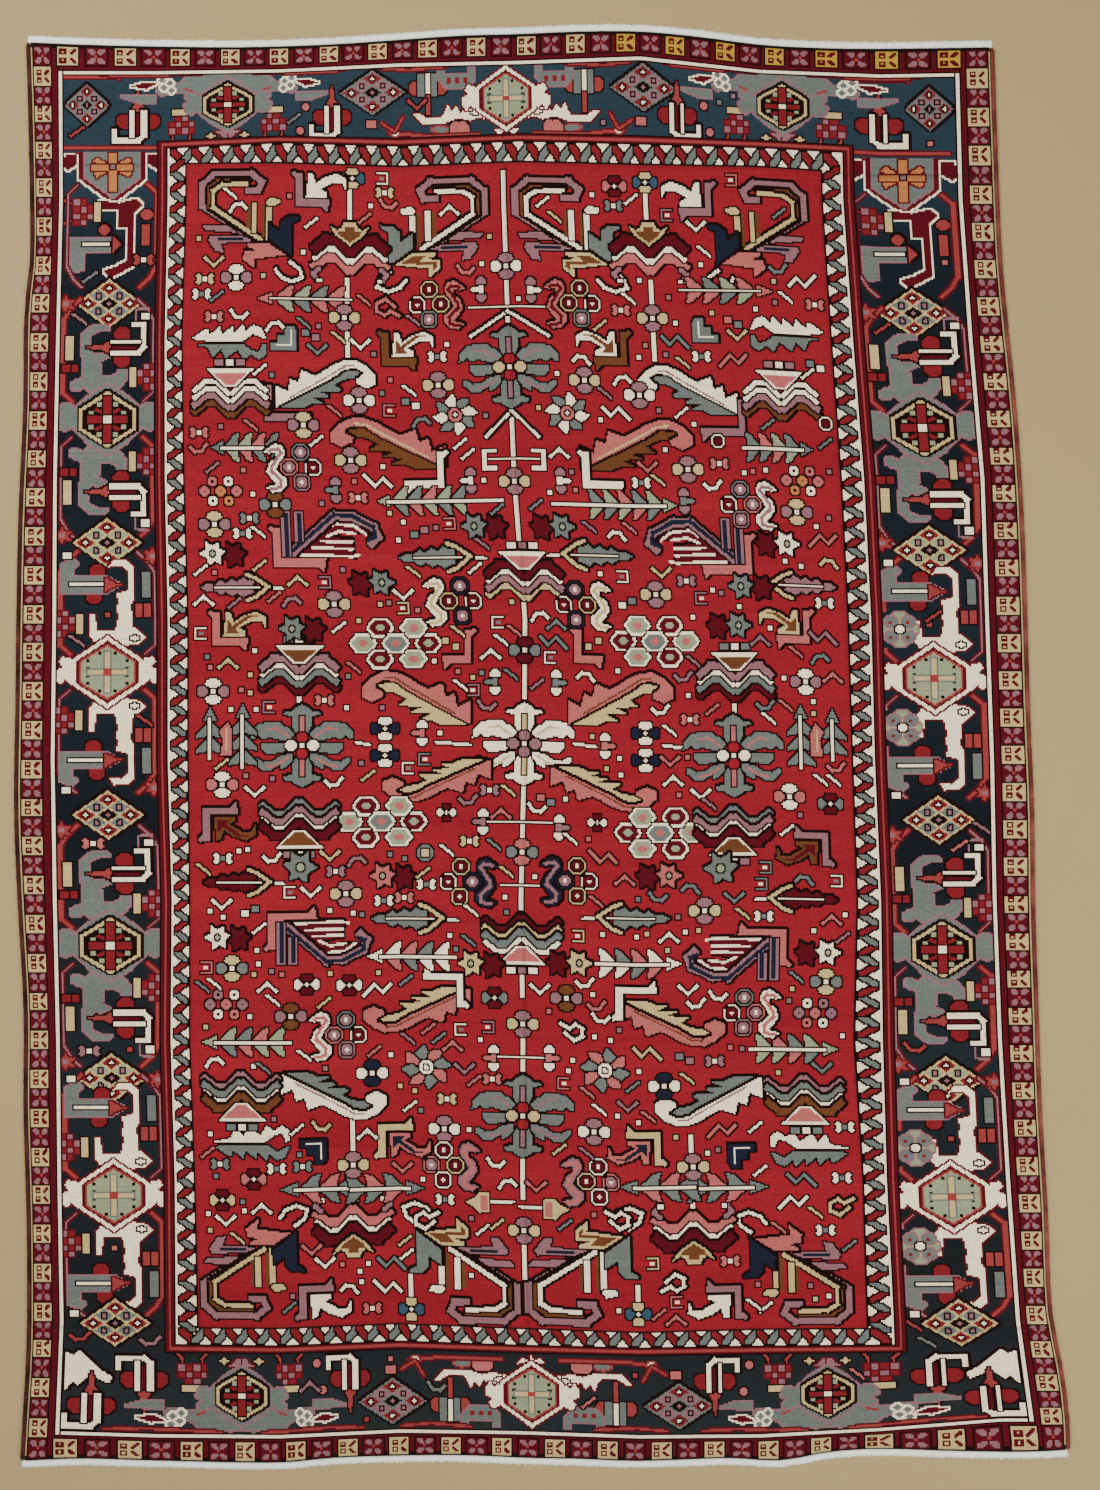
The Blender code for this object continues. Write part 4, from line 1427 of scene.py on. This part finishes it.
class Bench:
    """A material being put together, and its finished shader."""

    def __init__(self, name: str, roughness: float, sheen: float) -> None:
        """Starts a material with a plain shader.

        Args:
            name: The material's name.
            roughness: How matt it is, from 0 to 1.
            sheen: How much soft light its fibres catch at a low angle.
        """
        self.material = bpy.data.materials.new(name)
        self.material.use_nodes = True
        self.tree = self.material.node_tree
        self.shader = self.tree.nodes["Principled BSDF"]
        self.shader.inputs["Roughness"].default_value = roughness
        self.shader.inputs["Sheen Weight"].default_value = sheen
        self.shader.inputs["Sheen Roughness"].default_value = 0.5
        self.shader.inputs["Specular IOR Level"].default_value = 0.1

    def node(self, kind: str, settings: dict, sockets: dict) -> bpy.types.Node:
        """Adds one node.

        Args:
            kind: The node's type.
            settings: Its own settings. The key "stops" holds a ramp's stops.
            sockets: Values or wires for its inputs, by name or number.

        Returns:
            The node.
        """
        made = self.tree.nodes.new(kind)
        for key, value in settings.items():
            if key == "stops":
                ramp = made.color_ramp
                while len(ramp.elements) < len(value):
                    ramp.elements.new(1.0)
                for element, (place, colour) in zip(ramp.elements, value):
                    element.position = place
                    element.color = colour
            elif key == "interpolation" and kind == "ShaderNodeValToRGB":
                made.color_ramp.interpolation = value
            else:
                setattr(made, key, value)
        for key, value in sockets.items():
            if isinstance(value, Wire):
                value = value.socket
            if isinstance(value, bpy.types.NodeSocket):
                self.tree.links.new(value, made.inputs[key])
            else:
                made.inputs[key].default_value = value
        return made

    def maths(self, operation: str, *values: "Wire | float") -> Wire:
        """Adds a Math node."""
        made = self.node("ShaderNodeMath", {"operation": operation}, dict(enumerate(values)))
        return Wire(self, made.outputs[0])

    def parts(self, vector: bpy.types.NodeSocket) -> tuple[Wire, Wire, Wire]:
        """Splits a vector into its three numbers."""
        made = self.node("ShaderNodeSeparateXYZ", {}, {0: vector})
        return tuple(Wire(self, s) for s in made.outputs)

    def join(self, x: "Wire | float", y: "Wire | float", z: "Wire | float") -> bpy.types.NodeSocket:
        """Puts three numbers together as a vector."""
        return self.node("ShaderNodeCombineXYZ", {}, {0: x, 1: y, 2: z}).outputs[0]

    def noise(self, vector: bpy.types.NodeSocket, scale: float, detail: float = 2.0) -> Wire:
        """Gives soft noise from about 0.3 to 0.7."""
        made = self.node("ShaderNodeTexNoise", {}, {"Vector": vector, "Scale": scale, "Detail": detail})
        return Wire(self, made.outputs["Fac"])

    def mix(self, factor: "Wire | float", first: object, second: object,
            blend: str = "MIX") -> bpy.types.NodeSocket:
        """Mixes two colours."""
        made = self.node("ShaderNodeMix", {"data_type": "RGBA", "blend_type": blend},
                         {0: factor, 6: first, 7: second})
        return made.outputs[2]

    def object_place(self) -> bpy.types.NodeSocket:
        """Gives the place on the object, in metres."""
        return self.node("ShaderNodeTexCoord", {}, {}).outputs["Object"]

    def colour(self, socket: bpy.types.NodeSocket) -> None:
        """Feeds the shader's colour."""
        self.tree.links.new(socket, self.shader.inputs["Base Color"])

    def relief(self, height: Wire, depth: float, strength: float = 1.0) -> None:
        """Feeds the shader's normal from a height from 0 to 1.

        Args:
            height: The height.
            depth: What a height of 1 measures, in metres.
            strength: How much of the bump shows.
        """
        bump = self.node("ShaderNodeBump", {},
                         {"Height": height, "Distance": depth, "Strength": strength})
        self.tree.links.new(bump.outputs[0], self.shader.inputs["Normal"])


def dye(red: int, green: int, blue: int, share: float = 0.86) -> tuple[float, float, float, float]:
    """Turns a colour seen on a screen into what its wool gives back of the light.

    Args:
        red: Red part, from 0 to 255.
        green: Green part.
        blue: Blue part.
        share: What the wool gives back, against the same colour in plain light.

    Returns:
        The linear colour with a full alpha.
    """
    parts = (c / 255.0 for c in (red, green, blue))
    return tuple(share * (c / 12.92 if c <= 0.04045 else ((c + 0.055) / 1.055) ** 2.4)
                 for c in parts) + (1.0,)


@dataclass(frozen=True)
class WoolPile:
    """Cut wool pile in the chart's colours, with streaks from batch to batch."""

    dyes: dict = field(default_factory=lambda: {
        RED: dye(136, 24, 36),
        DARK: dye(24, 5, 4),
        IVORY: dye(255, 234, 198, 0.94),
        CREAM: dye(200, 174, 118),
        GOLD: dye(190, 148, 52),
        LILAC: dye(142, 98, 104),
        GREY: dye(106, 111, 106),
        ROSE: dye(182, 96, 92),
        NAVY: dye(26, 30, 46),
        BLUE: dye(54, 80, 96),
        MAROON: dye(88, 12, 22),
        CORAL: dye(150, 58, 56),
        GREEN: dye(146, 154, 118),
        GROUND: dye(24, 38, 44),
        BROWN: dye(104, 60, 34),
        ORANGE: dye(188, 116, 66),
        BRICK: dye(126, 30, 36),
    })
    KNOTS_A_FACE = 3
    BASE = len(Yarn)
    FIBRES = 900.0
    SPECK = 0.24
    FOOT = 1.7
    LENGTH = 3.6

    def material(self) -> bpy.types.Material:
        """Builds the material."""
        bench = Bench("cut_wool_pile", 0.95, 0.03)
        knots = bench.node("ShaderNodeUVMap", {"uv_map": "knots"}, {}).outputs[0]
        across, along, _ = bench.parts(knots)
        rows = bench.node("ShaderNodeAttribute", {"attribute_name": "tied"}, {})
        low, middle, high = bench.parts(rows.outputs["Vector"])
        column = (across % self.KNOTS_A_FACE).floor()
        row = (along % self.KNOTS_A_FACE).floor()
        is_low = row < 0.5
        is_high = row > 1.5
        packed = low * is_low + high * is_high + middle * (1.0 - is_low - is_high)
        place_value = bench.maths("POWER", float(self.BASE), column)
        yarn = (packed.floor() / place_value % self.BASE).floor()
        stops = [(float(y) / self.BASE, self.dyes[y]) for y in Yarn]
        wool = bench.node("ShaderNodeValToRGB", {"interpolation": "CONSTANT", "stops": stops},
                          {0: (yarn + 0.5) / self.BASE}).outputs[0]
        spot = bench.object_place()
        x, y, _ = bench.parts(spot)
        is_ground = bench.maths("COMPARE", yarn, float(GROUND), 0.5)
        wool = bench.mix(is_ground, wool, self.ground(bench, x, y))
        wool = self.streaks(bench, wool, yarn, x, y)
        knot = bench.join(across.floor(), along.floor(), 0.0)
        speck = Wire(bench, bench.node("ShaderNodeTexWhiteNoise", {"noise_dimensions": "2D"},
                                       {"Vector": knot}).outputs["Value"])
        bright = speck * self.SPECK + (1.0 - self.SPECK / 2.0)
        wool = bench.mix(1.0, wool, bench.join(bright, bright, bright), "MULTIPLY")
        bench.colour(wool)
        fibre = bench.noise(bench.join(x * self.FIBRES, y * self.FIBRES, 0.0), 1.0, 2.0)
        crown_x = (across * (2.0 * math.pi) - math.pi / 2.0).wave()
        crown_y = (along * (2.0 * math.pi) - math.pi / 2.0).wave()
        bench.relief(crown_x * 0.2 + crown_y * 0.25 + fibre * 0.8, 0.0009, 0.8)
        return bench.material

    def ground(self, bench: Bench, x: Wire, y: Wire) -> bpy.types.NodeSocket:
        """Gives the border's dark ground, bluer at the top end.

        Args:
            bench: The material being made.
            x: Place across in metres.
            y: Place along in metres.

        Returns:
            The colour.
        """
        drift = bench.noise(bench.join(x * 0.6, y * 9.0, 0.0), 1.0, 3.0)
        height = (y + drift * 0.28 + self.FOOT) / self.LENGTH
        stops = [
            (0.0, dye(38, 44, 46)), (0.09, dye(34, 38, 40)), (0.16, dye(26, 28, 30)),
            (0.30, dye(30, 38, 42)), (0.45, dye(19, 23, 28)), (0.58, dye(25, 36, 42)),
            (0.72, dye(20, 24, 30)), (0.84, dye(22, 30, 36)), (0.89, dye(36, 52, 62)),
            (1.0, dye(42, 60, 70)),
        ]
        return bench.node("ShaderNodeValToRGB", {"stops": stops}, {0: height}).outputs[0]

    def streaks(self, bench: Bench, wool: bpy.types.NodeSocket, yarn: Wire,
                x: Wire, y: Wire) -> bpy.types.NodeSocket:
        """Varies the wool in level streaks, most of all the red.

        Args:
            bench: The material being made.
            wool: The colour so far.
            yarn: The number of the yarn.
            x: Place across in metres.
            y: Place along in metres.

        Returns:
            The varied colour.
        """
        fine = bench.noise(bench.join(x * 3.0, y * 160.0, 0.0), 1.0, 2.0)
        broad = bench.noise(bench.join(x * 0.5, y * 11.0, 3.7), 1.0, 3.0)
        is_red = yarn < 0.5
        bright = (fine - 0.5) * 0.35 + (broad - 0.5) * 0.25 + 1.0
        warm = bench.mix(is_red * broad * 0.7, wool, dye(164, 38, 46))
        return bench.mix(1.0, warm, bench.join(bright, bright, bright), "MULTIPLY")


@dataclass(frozen=True)
class WrappedWool:
    """Dark wool wound round the outer warps."""

    light: tuple = dye(98, 50, 44)
    dark: tuple = dye(40, 18, 16)

    def material(self) -> bpy.types.Material:
        """Builds the material."""
        bench = Bench("overcast_wool", 0.9, 0.03)
        x, y, z = bench.parts(bench.object_place())
        patch = bench.noise(bench.join(x * 8.0, y * 14.0, z * 8.0), 1.0, 3.0)
        fibre = bench.noise(bench.join(x * 500.0, y * 1400.0, z * 500.0), 1.0, 2.0)
        share = (patch - 0.5) * 2.4 + (fibre - 0.5) * 1.2 + 0.4
        bench.colour(bench.mix(share, self.dark, self.light))
        bench.relief(fibre, 0.0006, 0.7)
        return bench.material


@dataclass(frozen=True)
class WarpCotton:
    """Undyed cotton, slightly grey with age."""

    light: tuple = dye(255, 255, 250, 1.0)
    dull: tuple = dye(240, 244, 234, 1.0)

    def material(self) -> bpy.types.Material:
        """Builds the material."""
        bench = Bench("cotton_warp", 0.9, 0.1)
        x, y, z = bench.parts(bench.object_place())
        patch = bench.noise(bench.join(x * 22.0, y * 22.0, z * 22.0), 1.0, 3.0)
        thread = bench.noise(bench.join(x * 900.0, y * 240.0, z * 500.0), 1.0, 2.0)
        share = (patch - 0.5) * 2.2 + (thread - 0.5) * 1.6 + 0.6
        bench.colour(bench.mix(share, self.dull, self.light))
        bench.relief(thread, 0.0008, 0.8)
        return bench.material


@dataclass(frozen=True)
class PaleFloor:
    """A plain pale studio floor."""

    colour: tuple = dye(174, 150, 104)

    def material(self) -> bpy.types.Material:
        """Builds the material."""
        bench = Bench("pale_floor", 0.7, 0.0)
        grain = bench.noise(bench.object_place(), 3.0, 3.0)
        bench.colour(bench.mix((grain - 0.5) * 0.3 + 0.5, self.colour, dye(184, 160, 112)))
        return bench.material


def new_piece(name: str, points: np.ndarray, faces: list, material: bpy.types.Material,
              smooth: bool = True) -> bpy.types.Object:
    """Makes a mesh object in the rug's own frame.

    Args:
        name: The piece's name.
        points: Its vertices in metres, one row each.
        faces: Its faces as lists of vertex numbers.
        material: Its finish.
        smooth: Whether its faces are shaded smooth.

    Returns:
        The object, linked to the scene.
    """
    mesh = bpy.data.meshes.new(name)
    mesh.from_pydata(points.tolist(), [], faces)
    mesh.polygons.foreach_set("use_smooth", [smooth] * len(mesh.polygons))
    mesh.materials.append(material)
    mesh.update()
    piece = bpy.data.objects.new(name, mesh)
    bpy.context.scene.collection.objects.link(piece)
    return piece


def tube_faces(rings: int, sides: int) -> list:
    """Gives the faces of a closed tube, from its rings of points in order."""
    number = np.arange(rings * sides).reshape(rings, sides)
    ahead = np.roll(number, -1, axis=1)
    quads = np.stack((number[:-1], number[1:], ahead[1:], ahead[:-1]), axis=-1)
    return quads.reshape(-1, 4).tolist() + [number[0].tolist(), number[-1][::-1].tolist()]


def report(piece: bpy.types.Object) -> None:
    """Logs a piece's name and its count of faces."""
    log.info("%s: %d faces", piece.name, len(piece.data.polygons))


@dataclass(frozen=True)
class Patch:
    """A stretch of the chart, counted in faces of three knots by three."""

    name: str
    left: int
    low: int
    right: int
    high: int
    folds: int


@dataclass
class KnottedPile:
    """The pile, tied in patches that meet edge to edge, and the woven back."""

    lie: Lie
    knots: np.ndarray
    top: float = 0.009
    back: float = 0.0024
    seam: float = 0.0001
    ripple: float = 0.0004
    rim_drop: float = 0.0016
    patches: tuple = (
        Patch("pile_bottom_border", 0, 0, 219, 29, 3),
        Patch("pile_left_border", 0, 29, 34, 287, 3),
        Patch("pile_field_left", 34, 29, 110, 287, 2),
        Patch("pile_field_right", 110, 29, 185, 287, 2),
        Patch("pile_right_border", 185, 29, 219, 287, 3),
        Patch("pile_top_border", 0, 287, 219, 315, 3),
    )
    FACE = 3
    FOLD_GAP = 0.006

    def build(self) -> list[bpy.types.Object]:
        """Builds every patch and the back, in that order."""
        wool = WoolPile().material()
        self.tied = self.pack_faces()
        columns = self.knots.shape[1] // self.FACE
        rows = self.knots.shape[0] // self.FACE
        across = np.arange(columns + 1) * self.FACE - MIDDLE_COLUMN - 0.5
        along = np.arange(rows + 1) * self.FACE - MIDDLE_ROW - 0.5
        wide, high = np.meshgrid(across, along)
        x, y = self.lie.place(wide.ravel(), high.ravel())
        self.x = x.reshape(wide.shape)
        self.y = y.reshape(wide.shape)
        self.z = self.heights()
        pieces = [self.patch(p, wool) for p in self.patches]
        whole = Patch("rug_back", 0, 0, columns, rows, 1)
        pieces.append(self.woven_back(whole, wool))
        return pieces

    def pack_faces(self) -> np.ndarray:
        """Packs each face's nine yarns as three numbers, a row of knots in each."""
        rows, columns = self.knots.shape
        grid = self.knots.reshape(rows // self.FACE, self.FACE, columns // self.FACE, self.FACE)
        places = WoolPile.BASE ** np.arange(self.FACE)
        return (grid.transpose(0, 2, 1, 3).astype(int) * places).sum(3) + 0.5

    def heights(self) -> np.ndarray:
        """Gives the pile's height, gently uneven and lower along its rim."""
        draw = np.random.default_rng(11)
        rough = draw.normal(0.0, self.ripple * 0.35, self.x.shape)
        swell = np.sin(self.x * 9.0 + np.sin(self.y * 4.0) * 2.0) * np.sin(self.y * 7.0 + 1.0)
        z = self.top + rough + swell * self.ripple
        z[0] -= self.rim_drop
        z[-1] -= self.rim_drop
        z[:, 0] -= self.rim_drop
        z[:, -1] -= self.rim_drop
        return z

    def patch(self, patch: Patch, wool: bpy.types.Material) -> bpy.types.Object:
        """Builds one patch of pile as a closed piece above the back."""
        grid = np.s_[patch.low: patch.high + 1, patch.left: patch.right + 1]
        upper = np.stack((self.x[grid], self.y[grid], self.z[grid]), axis=-1)
        return self.slab(patch, upper, self.back + self.seam, wool, True)

    def woven_back(self, whole: Patch, wool: bpy.types.Material) -> bpy.types.Object:
        """Builds the knotted underside, which shows the same chart."""
        under = np.stack((self.x, self.y, np.zeros_like(self.x)), axis=-1)
        return self.slab(whole, under, self.back, wool, False)

    def slab(self, patch: Patch, face: np.ndarray, far: float, wool: bpy.types.Material,
             up: bool) -> bpy.types.Object:
        """Closes a charted face with a plain one at another height.

        Args:
            patch: The stretch of the chart.
            face: Vertices of the charted face, by row and column.
            far: Height of the plain face in metres.
            wool: The finish.
            up: Whether the charted face is the upper one.

        Returns:
            The piece.
        """
        rows, columns = face.shape[0] - 1, face.shape[1] - 1
        number = np.arange(face.shape[0] * face.shape[1]).reshape(face.shape[:2])
        quads = np.stack((number[:-1, :-1], number[:-1, 1:], number[1:, 1:], number[1:, :-1]),
                         axis=-1).reshape(-1, 4)
        rim = np.concatenate((number[0, :-1], number[:-1, -1], number[-1, :0:-1], number[:0:-1, 0]))
        points = face.reshape(-1, 3)
        below = points[rim].copy()
        below[:, 2] = far
        base = len(points) + np.arange(len(rim))
        walls = np.stack((base, np.roll(base, -1), np.roll(rim, -1), rim), axis=-1)
        floor = base[::-1]
        if not up:
            quads = quads[:, ::-1]
            walls = walls[:, ::-1]
            floor = floor[::-1]
        faces = quads.tolist() + walls.tolist() + [floor.tolist()]
        piece = new_piece(patch.name, np.concatenate((points, below)), faces, wool)
        self.chart_faces(piece, patch, rows, columns, up)
        return piece

    def chart_faces(self, piece: bpy.types.Object, patch: Patch, rows: int, columns: int,
                    up: bool) -> None:
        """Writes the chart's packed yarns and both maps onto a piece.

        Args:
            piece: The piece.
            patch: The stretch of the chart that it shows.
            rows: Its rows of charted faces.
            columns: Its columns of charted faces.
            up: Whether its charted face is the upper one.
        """
        mesh = piece.data
        charted = rows * columns
        plain = int(DARK) * sum(WoolPile.BASE ** i for i in range(self.FACE)) + 0.5
        tied = np.full((len(mesh.polygons), 3), plain, np.float32)
        tied[:charted] = self.tied[patch.low: patch.high, patch.left: patch.right].reshape(-1, 3)
        attribute = mesh.attributes.new("tied", "FLOAT_VECTOR", "FACE")
        attribute.data.foreach_set("vector", tied.ravel())
        row, column = np.divmod(np.arange(charted), columns)
        steps = np.array(((0, 0), (1, 0), (1, 1), (0, 1)), float)
        if not up:
            steps = steps[::-1]
        corner = np.stack((column, row), axis=-1)[:, None, :] + steps
        start = np.array((patch.left, patch.low)) * self.FACE
        knots = mesh.uv_layers.new(name="knots")
        places = np.full((len(mesh.loops), 2), 1.5)
        places[:charted * 4] = (corner * self.FACE + start).reshape(-1, 2)
        knots.data.foreach_set("uv", places.ravel())
        bake = mesh.uv_layers.new(name="OFBake")
        spread = np.zeros((len(mesh.loops), 2))
        spread[:charted * 4] = self.folded(corner, row, column, rows, columns, patch.folds)
        spread[charted * 4:] = self.margin(len(mesh.loops) - charted * 4)
        bake.data.foreach_set("uv", spread.ravel())

    def folded(self, corner: np.ndarray, row: np.ndarray, column: np.ndarray, rows: int,
               columns: int, folds: int) -> np.ndarray:
        """Lays a long patch out on a square map in a few stretches side by side."""
        tall = rows >= columns
        length, width = (rows, columns) if tall else (columns, rows)
        run = row if tall else column
        share = math.ceil(length / folds)
        fold = run // share
        ahead = corner[..., 1] if tall else corner[..., 0]
        beside = corner[..., 0] if tall else corner[..., 1]
        first = (ahead - (fold * share)[:, None]) / share
        second = (beside / width + fold[:, None]) / folds
        gap = self.FOLD_GAP / 2.0
        first = gap + first * (1.0 - 2.0 * gap)
        cell = 1.0 / folds
        inner = (second - (fold * cell)[:, None]) * (1.0 - 2.0 * gap * folds)
        second = inner + (fold * cell)[:, None] + gap
        pair = (second, first) if tall else (first, second)
        return np.stack(pair, axis=-1).reshape(-1, 2)

    def margin(self, count: int) -> np.ndarray:
        """Gives map places in the empty margin for faces that show no knots."""
        turn = np.linspace(0.0, 2.0 * math.pi, count, endpoint=False)
        radius = self.FOLD_GAP / 4.0
        return np.stack((radius + radius * np.cos(turn), radius + radius * np.sin(turn)), axis=-1)


@dataclass
class SideCord:
    """Wool wound in close turns round the outer warps of one side."""

    edge: np.ndarray
    outward: float
    name: str
    wool: WrappedWool = WrappedWool()
    half_wide: float = 0.0058
    half_high: float = 0.0040
    centre: float = 0.0061
    pitch: float = 0.0052
    steps: int = 4
    sides: int = 10
    groove: float = 0.11
    sway: float = 0.0003
    sways: int = 400
    blunt_steps: float = 6.0
    blunt_least: float = 0.35
    seed: int = 5

    def build(self) -> bpy.types.Object:
        """Builds the cord as one closed tube with a ridge for each turn."""
        low, high = self.edge[0, 1], self.edge[-1, 1]
        count = int((high - low) / self.pitch * self.steps)
        y = np.linspace(low, high, count)
        x = np.interp(y, self.edge[:, 1], self.edge[:, 0]) + self.outward * self.centre
        draw = np.random.default_rng(self.seed)
        sway = np.interp(y, np.linspace(low, high, self.sways), draw.normal(0.0, self.sway, self.sways))
        turn = np.linspace(0.0, 2.0 * math.pi, self.sides, endpoint=False)
        phase = (np.arange(count) / self.steps)[:, None] + turn / (2.0 * math.pi)
        ridge = 1.0 - self.groove * (0.5 - 0.5 * np.cos(2.0 * math.pi * phase))
        ends = np.minimum(np.arange(count), np.arange(count)[::-1])
        close = np.clip((ends + 1) / self.blunt_steps, self.blunt_least, 1.0)[:, None]
        wide = self.half_wide * ridge * close
        tall = self.half_high * ridge * close
        points = np.stack((
            (x + sway)[:, None] + wide * np.cos(turn),
            np.repeat(y[:, None], self.sides, axis=1),
            self.half_high + tall * np.sin(turn),
        ), axis=-1).reshape(-1, 3)
        cord = new_piece(self.name, points, tube_faces(count, self.sides), self.wool.material())
        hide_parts(self.name_of_node())
        report(cord)
        return cord

    def name_of_node(self) -> str:
        """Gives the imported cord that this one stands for."""
        return "side_cord_left" if self.outward < 0.0 else "side_cord_right"


@dataclass
class Fringe:
    """A narrow woven strip with the warps' short cut ends at one end."""

    edge: np.ndarray
    outward: float
    node: str
    strip: float = 0.0168
    reach: float = 0.0212
    thick: float = 0.0022
    overhang: float = 0.007
    strand_pitch: float = 0.0017
    strand: float = 0.0023
    strand_root: float = 0.7
    step: float = 0.004
    gap: float = 0.0004
    lean: float = 0.0022
    lift: float = 0.0012
    seed: int = 3

    def build(self) -> list[bpy.types.Object]:
        """Builds the strip and its warp ends."""
        cotton = WarpCotton().material()
        strip = self.woven_strip(cotton)
        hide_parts(self.node)
        ends = self.warp_ends(cotton)
        for piece in (strip, ends):
            report(piece)
        return [strip, ends]

    def line(self, x: np.ndarray) -> np.ndarray:
        """Gives the pile's edge at some places across."""
        return np.interp(x, self.edge[:, 0], self.edge[:, 1])

    def woven_strip(self, cotton: bpy.types.Material) -> bpy.types.Object:
        """Builds the strip, with a slightly wavy outer edge."""
        x = np.arange(self.edge[0, 0] - self.overhang, self.edge[-1, 0] + self.overhang, self.step)
        draw = np.random.default_rng(self.seed)
        inner = self.line(x) + self.outward * self.gap
        deep = self.strip * (1.0 + draw.normal(0.0, 0.05, x.size))
        outer = inner + self.outward * deep
        middle = (inner + outer) / 2.0
        high = self.thick * (1.0 + draw.normal(0.0, 0.06, x.size))
        flat = high * 0.0
        section = [(inner, high * 0.9), (inner, flat), (outer, flat), (outer, high * 0.55), (middle, high)]
        points = np.stack([np.stack((x, y, z), axis=-1) for y, z in section], axis=1)
        faces = tube_faces(x.size, len(section))
        if self.outward > 0.0:
            faces = [f[::-1] for f in faces]
        return new_piece(self.node + "_strip", points.reshape(-1, 3), faces, cotton)

    def warp_ends(self, cotton: bpy.types.Material) -> bpy.types.Object:
        """Builds the cut warp ends, each with its own length and lean."""
        draw = random.Random(self.seed)
        low = self.edge[0, 0] - self.overhang
        high = self.edge[-1, 0] + self.overhang
        points = []
        faces = []
        for i in range(int((high - low) / self.strand_pitch)):
            x = low + (i + draw.uniform(0.2, 0.8)) * self.strand_pitch
            root = float(self.line(np.array([x]))[0]) + self.outward * self.strip * self.strand_root
            long = (self.reach - self.strip * self.strand_root) * draw.uniform(0.35, 1.0)
            lean = draw.uniform(-self.lean, self.lean)
            lift = draw.uniform(0.0, self.lift)
            base = len(points)
            for share, size in ((0.0, 1.0), (0.55, 0.9), (1.0, 0.45)):
                y = root + self.outward * long * share
                cx = x + lean * share * share
                half = self.strand * size / 2.0
                floor = lift * share
                points += [(cx - half, y, floor), (cx + half, y, floor),
                           (cx, y, floor + self.strand * size * 0.9)]
            for ring in (0, 3):
                for side in range(3):
                    a = base + ring + side
                    b = base + ring + (side + 1) % 3
                    faces.append((a, b, b + 3, a + 3))
            faces.append((base + 2, base + 1, base))
            faces.append((base + 6, base + 7, base + 8))
        if self.outward > 0.0:
            faces = [f[::-1] for f in faces]
        return new_piece(self.node + "_ends", np.array(points), faces, cotton, smooth=False)


@dataclass
class Studio:
    """A pale floor, soft light and a camera straight above."""

    aim_x: float = 0.0182
    aim_y: float = 0.0024
    frame_height: float = 3.606
    camera_height: float = 6.0
    sensor: float = 36.0
    floor_half: float = 6.0
    floor_drop: float = 0.0003
    key_power: float = 240.0
    fill_power: float = 184.0
    sky_strength: float = 0.52

    def build(self) -> None:
        """Builds the floor, the lights and the camera."""
        self.floor()
        self.light("key_light", (-2.6, 1.8, 4.2), 4.0, self.key_power)
        self.light("fill_light", (2.8, -1.6, 4.2), 4.0, self.fill_power)
        self.sky()
        self.camera()

    def floor(self) -> None:
        """Adds the floor, just under the rug."""
        bpy.ops.object.select_all(action="DESELECT")
        bpy.ops.mesh.primitive_plane_add(size=2.0 * self.floor_half, location=(0.0, 0.0, 0.0))
        floor = bpy.context.object
        floor.name = "studio_floor"
        floor.data.transform(floor.matrix_world)
        floor.matrix_world.identity()
        floor.data.transform(((1, 0, 0, 0), (0, 1, 0, 0), (0, 0, 1, -self.floor_drop), (0, 0, 0, 1)))
        floor.data.materials.append(PaleFloor().material())

    def light(self, name: str, place: tuple, size: float, power: float) -> None:
        """Adds one large soft light that faces the rug's middle."""
        data = bpy.data.lights.new(name, "AREA")
        data.shape = "DISK"
        data.size = size
        data.energy = power
        lamp = bpy.data.objects.new(name, data)
        lamp.location = place
        lamp.rotation_euler = (-Vector(place)).to_track_quat("-Z", "Y").to_euler()
        bpy.context.scene.collection.objects.link(lamp)

    def sky(self) -> None:
        """Lights the studio evenly from all round."""
        world = bpy.data.worlds.new("studio_light")
        world.use_nodes = True
        background = world.node_tree.nodes["Background"]
        background.inputs["Color"].default_value = (1.0, 1.0, 1.0, 1.0)
        background.inputs["Strength"].default_value = self.sky_strength
        bpy.context.scene.world = world

    def camera(self) -> None:
        """Hangs the camera straight above, framed as the photograph is."""
        data = bpy.data.cameras.new("camera")
        data.sensor_fit = "VERTICAL"
        data.sensor_height = self.sensor
        data.lens = self.sensor * self.camera_height / self.frame_height
        camera = bpy.data.objects.new("camera", data)
        camera.location = (self.aim_x, self.aim_y, self.camera_height)
        bpy.context.scene.collection.objects.link(camera)
        bpy.context.scene.camera = camera


def main() -> None:
    """Builds the rug's pieces in order, then the studio."""
    lie = Lie(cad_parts["rug_body"])
    chart = draw_rug()
    pile = KnottedPile(lie, chart.knots).build()
    for piece in pile:
        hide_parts("rug_body")
        report(piece)
    cords = [SideCord(lie.left, -1.0, "overcast_cord_left").build(),
             SideCord(lie.right, 1.0, "overcast_cord_right",
                      WrappedWool(dye(150, 80, 70), dye(88, 38, 34))).build()]
    fringes = Fringe(lie.top, 1.0, "fringe_top").build()
    fringes += Fringe(lie.bottom, -1.0, "fringe_bottom", seed=8).build()
    for piece in pile + cords + fringes:
        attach(piece, "root")
    [p.name for p in pile[:-1] + cords + fringes]
    Studio().build()


if __name__ == "__main__":
    main()
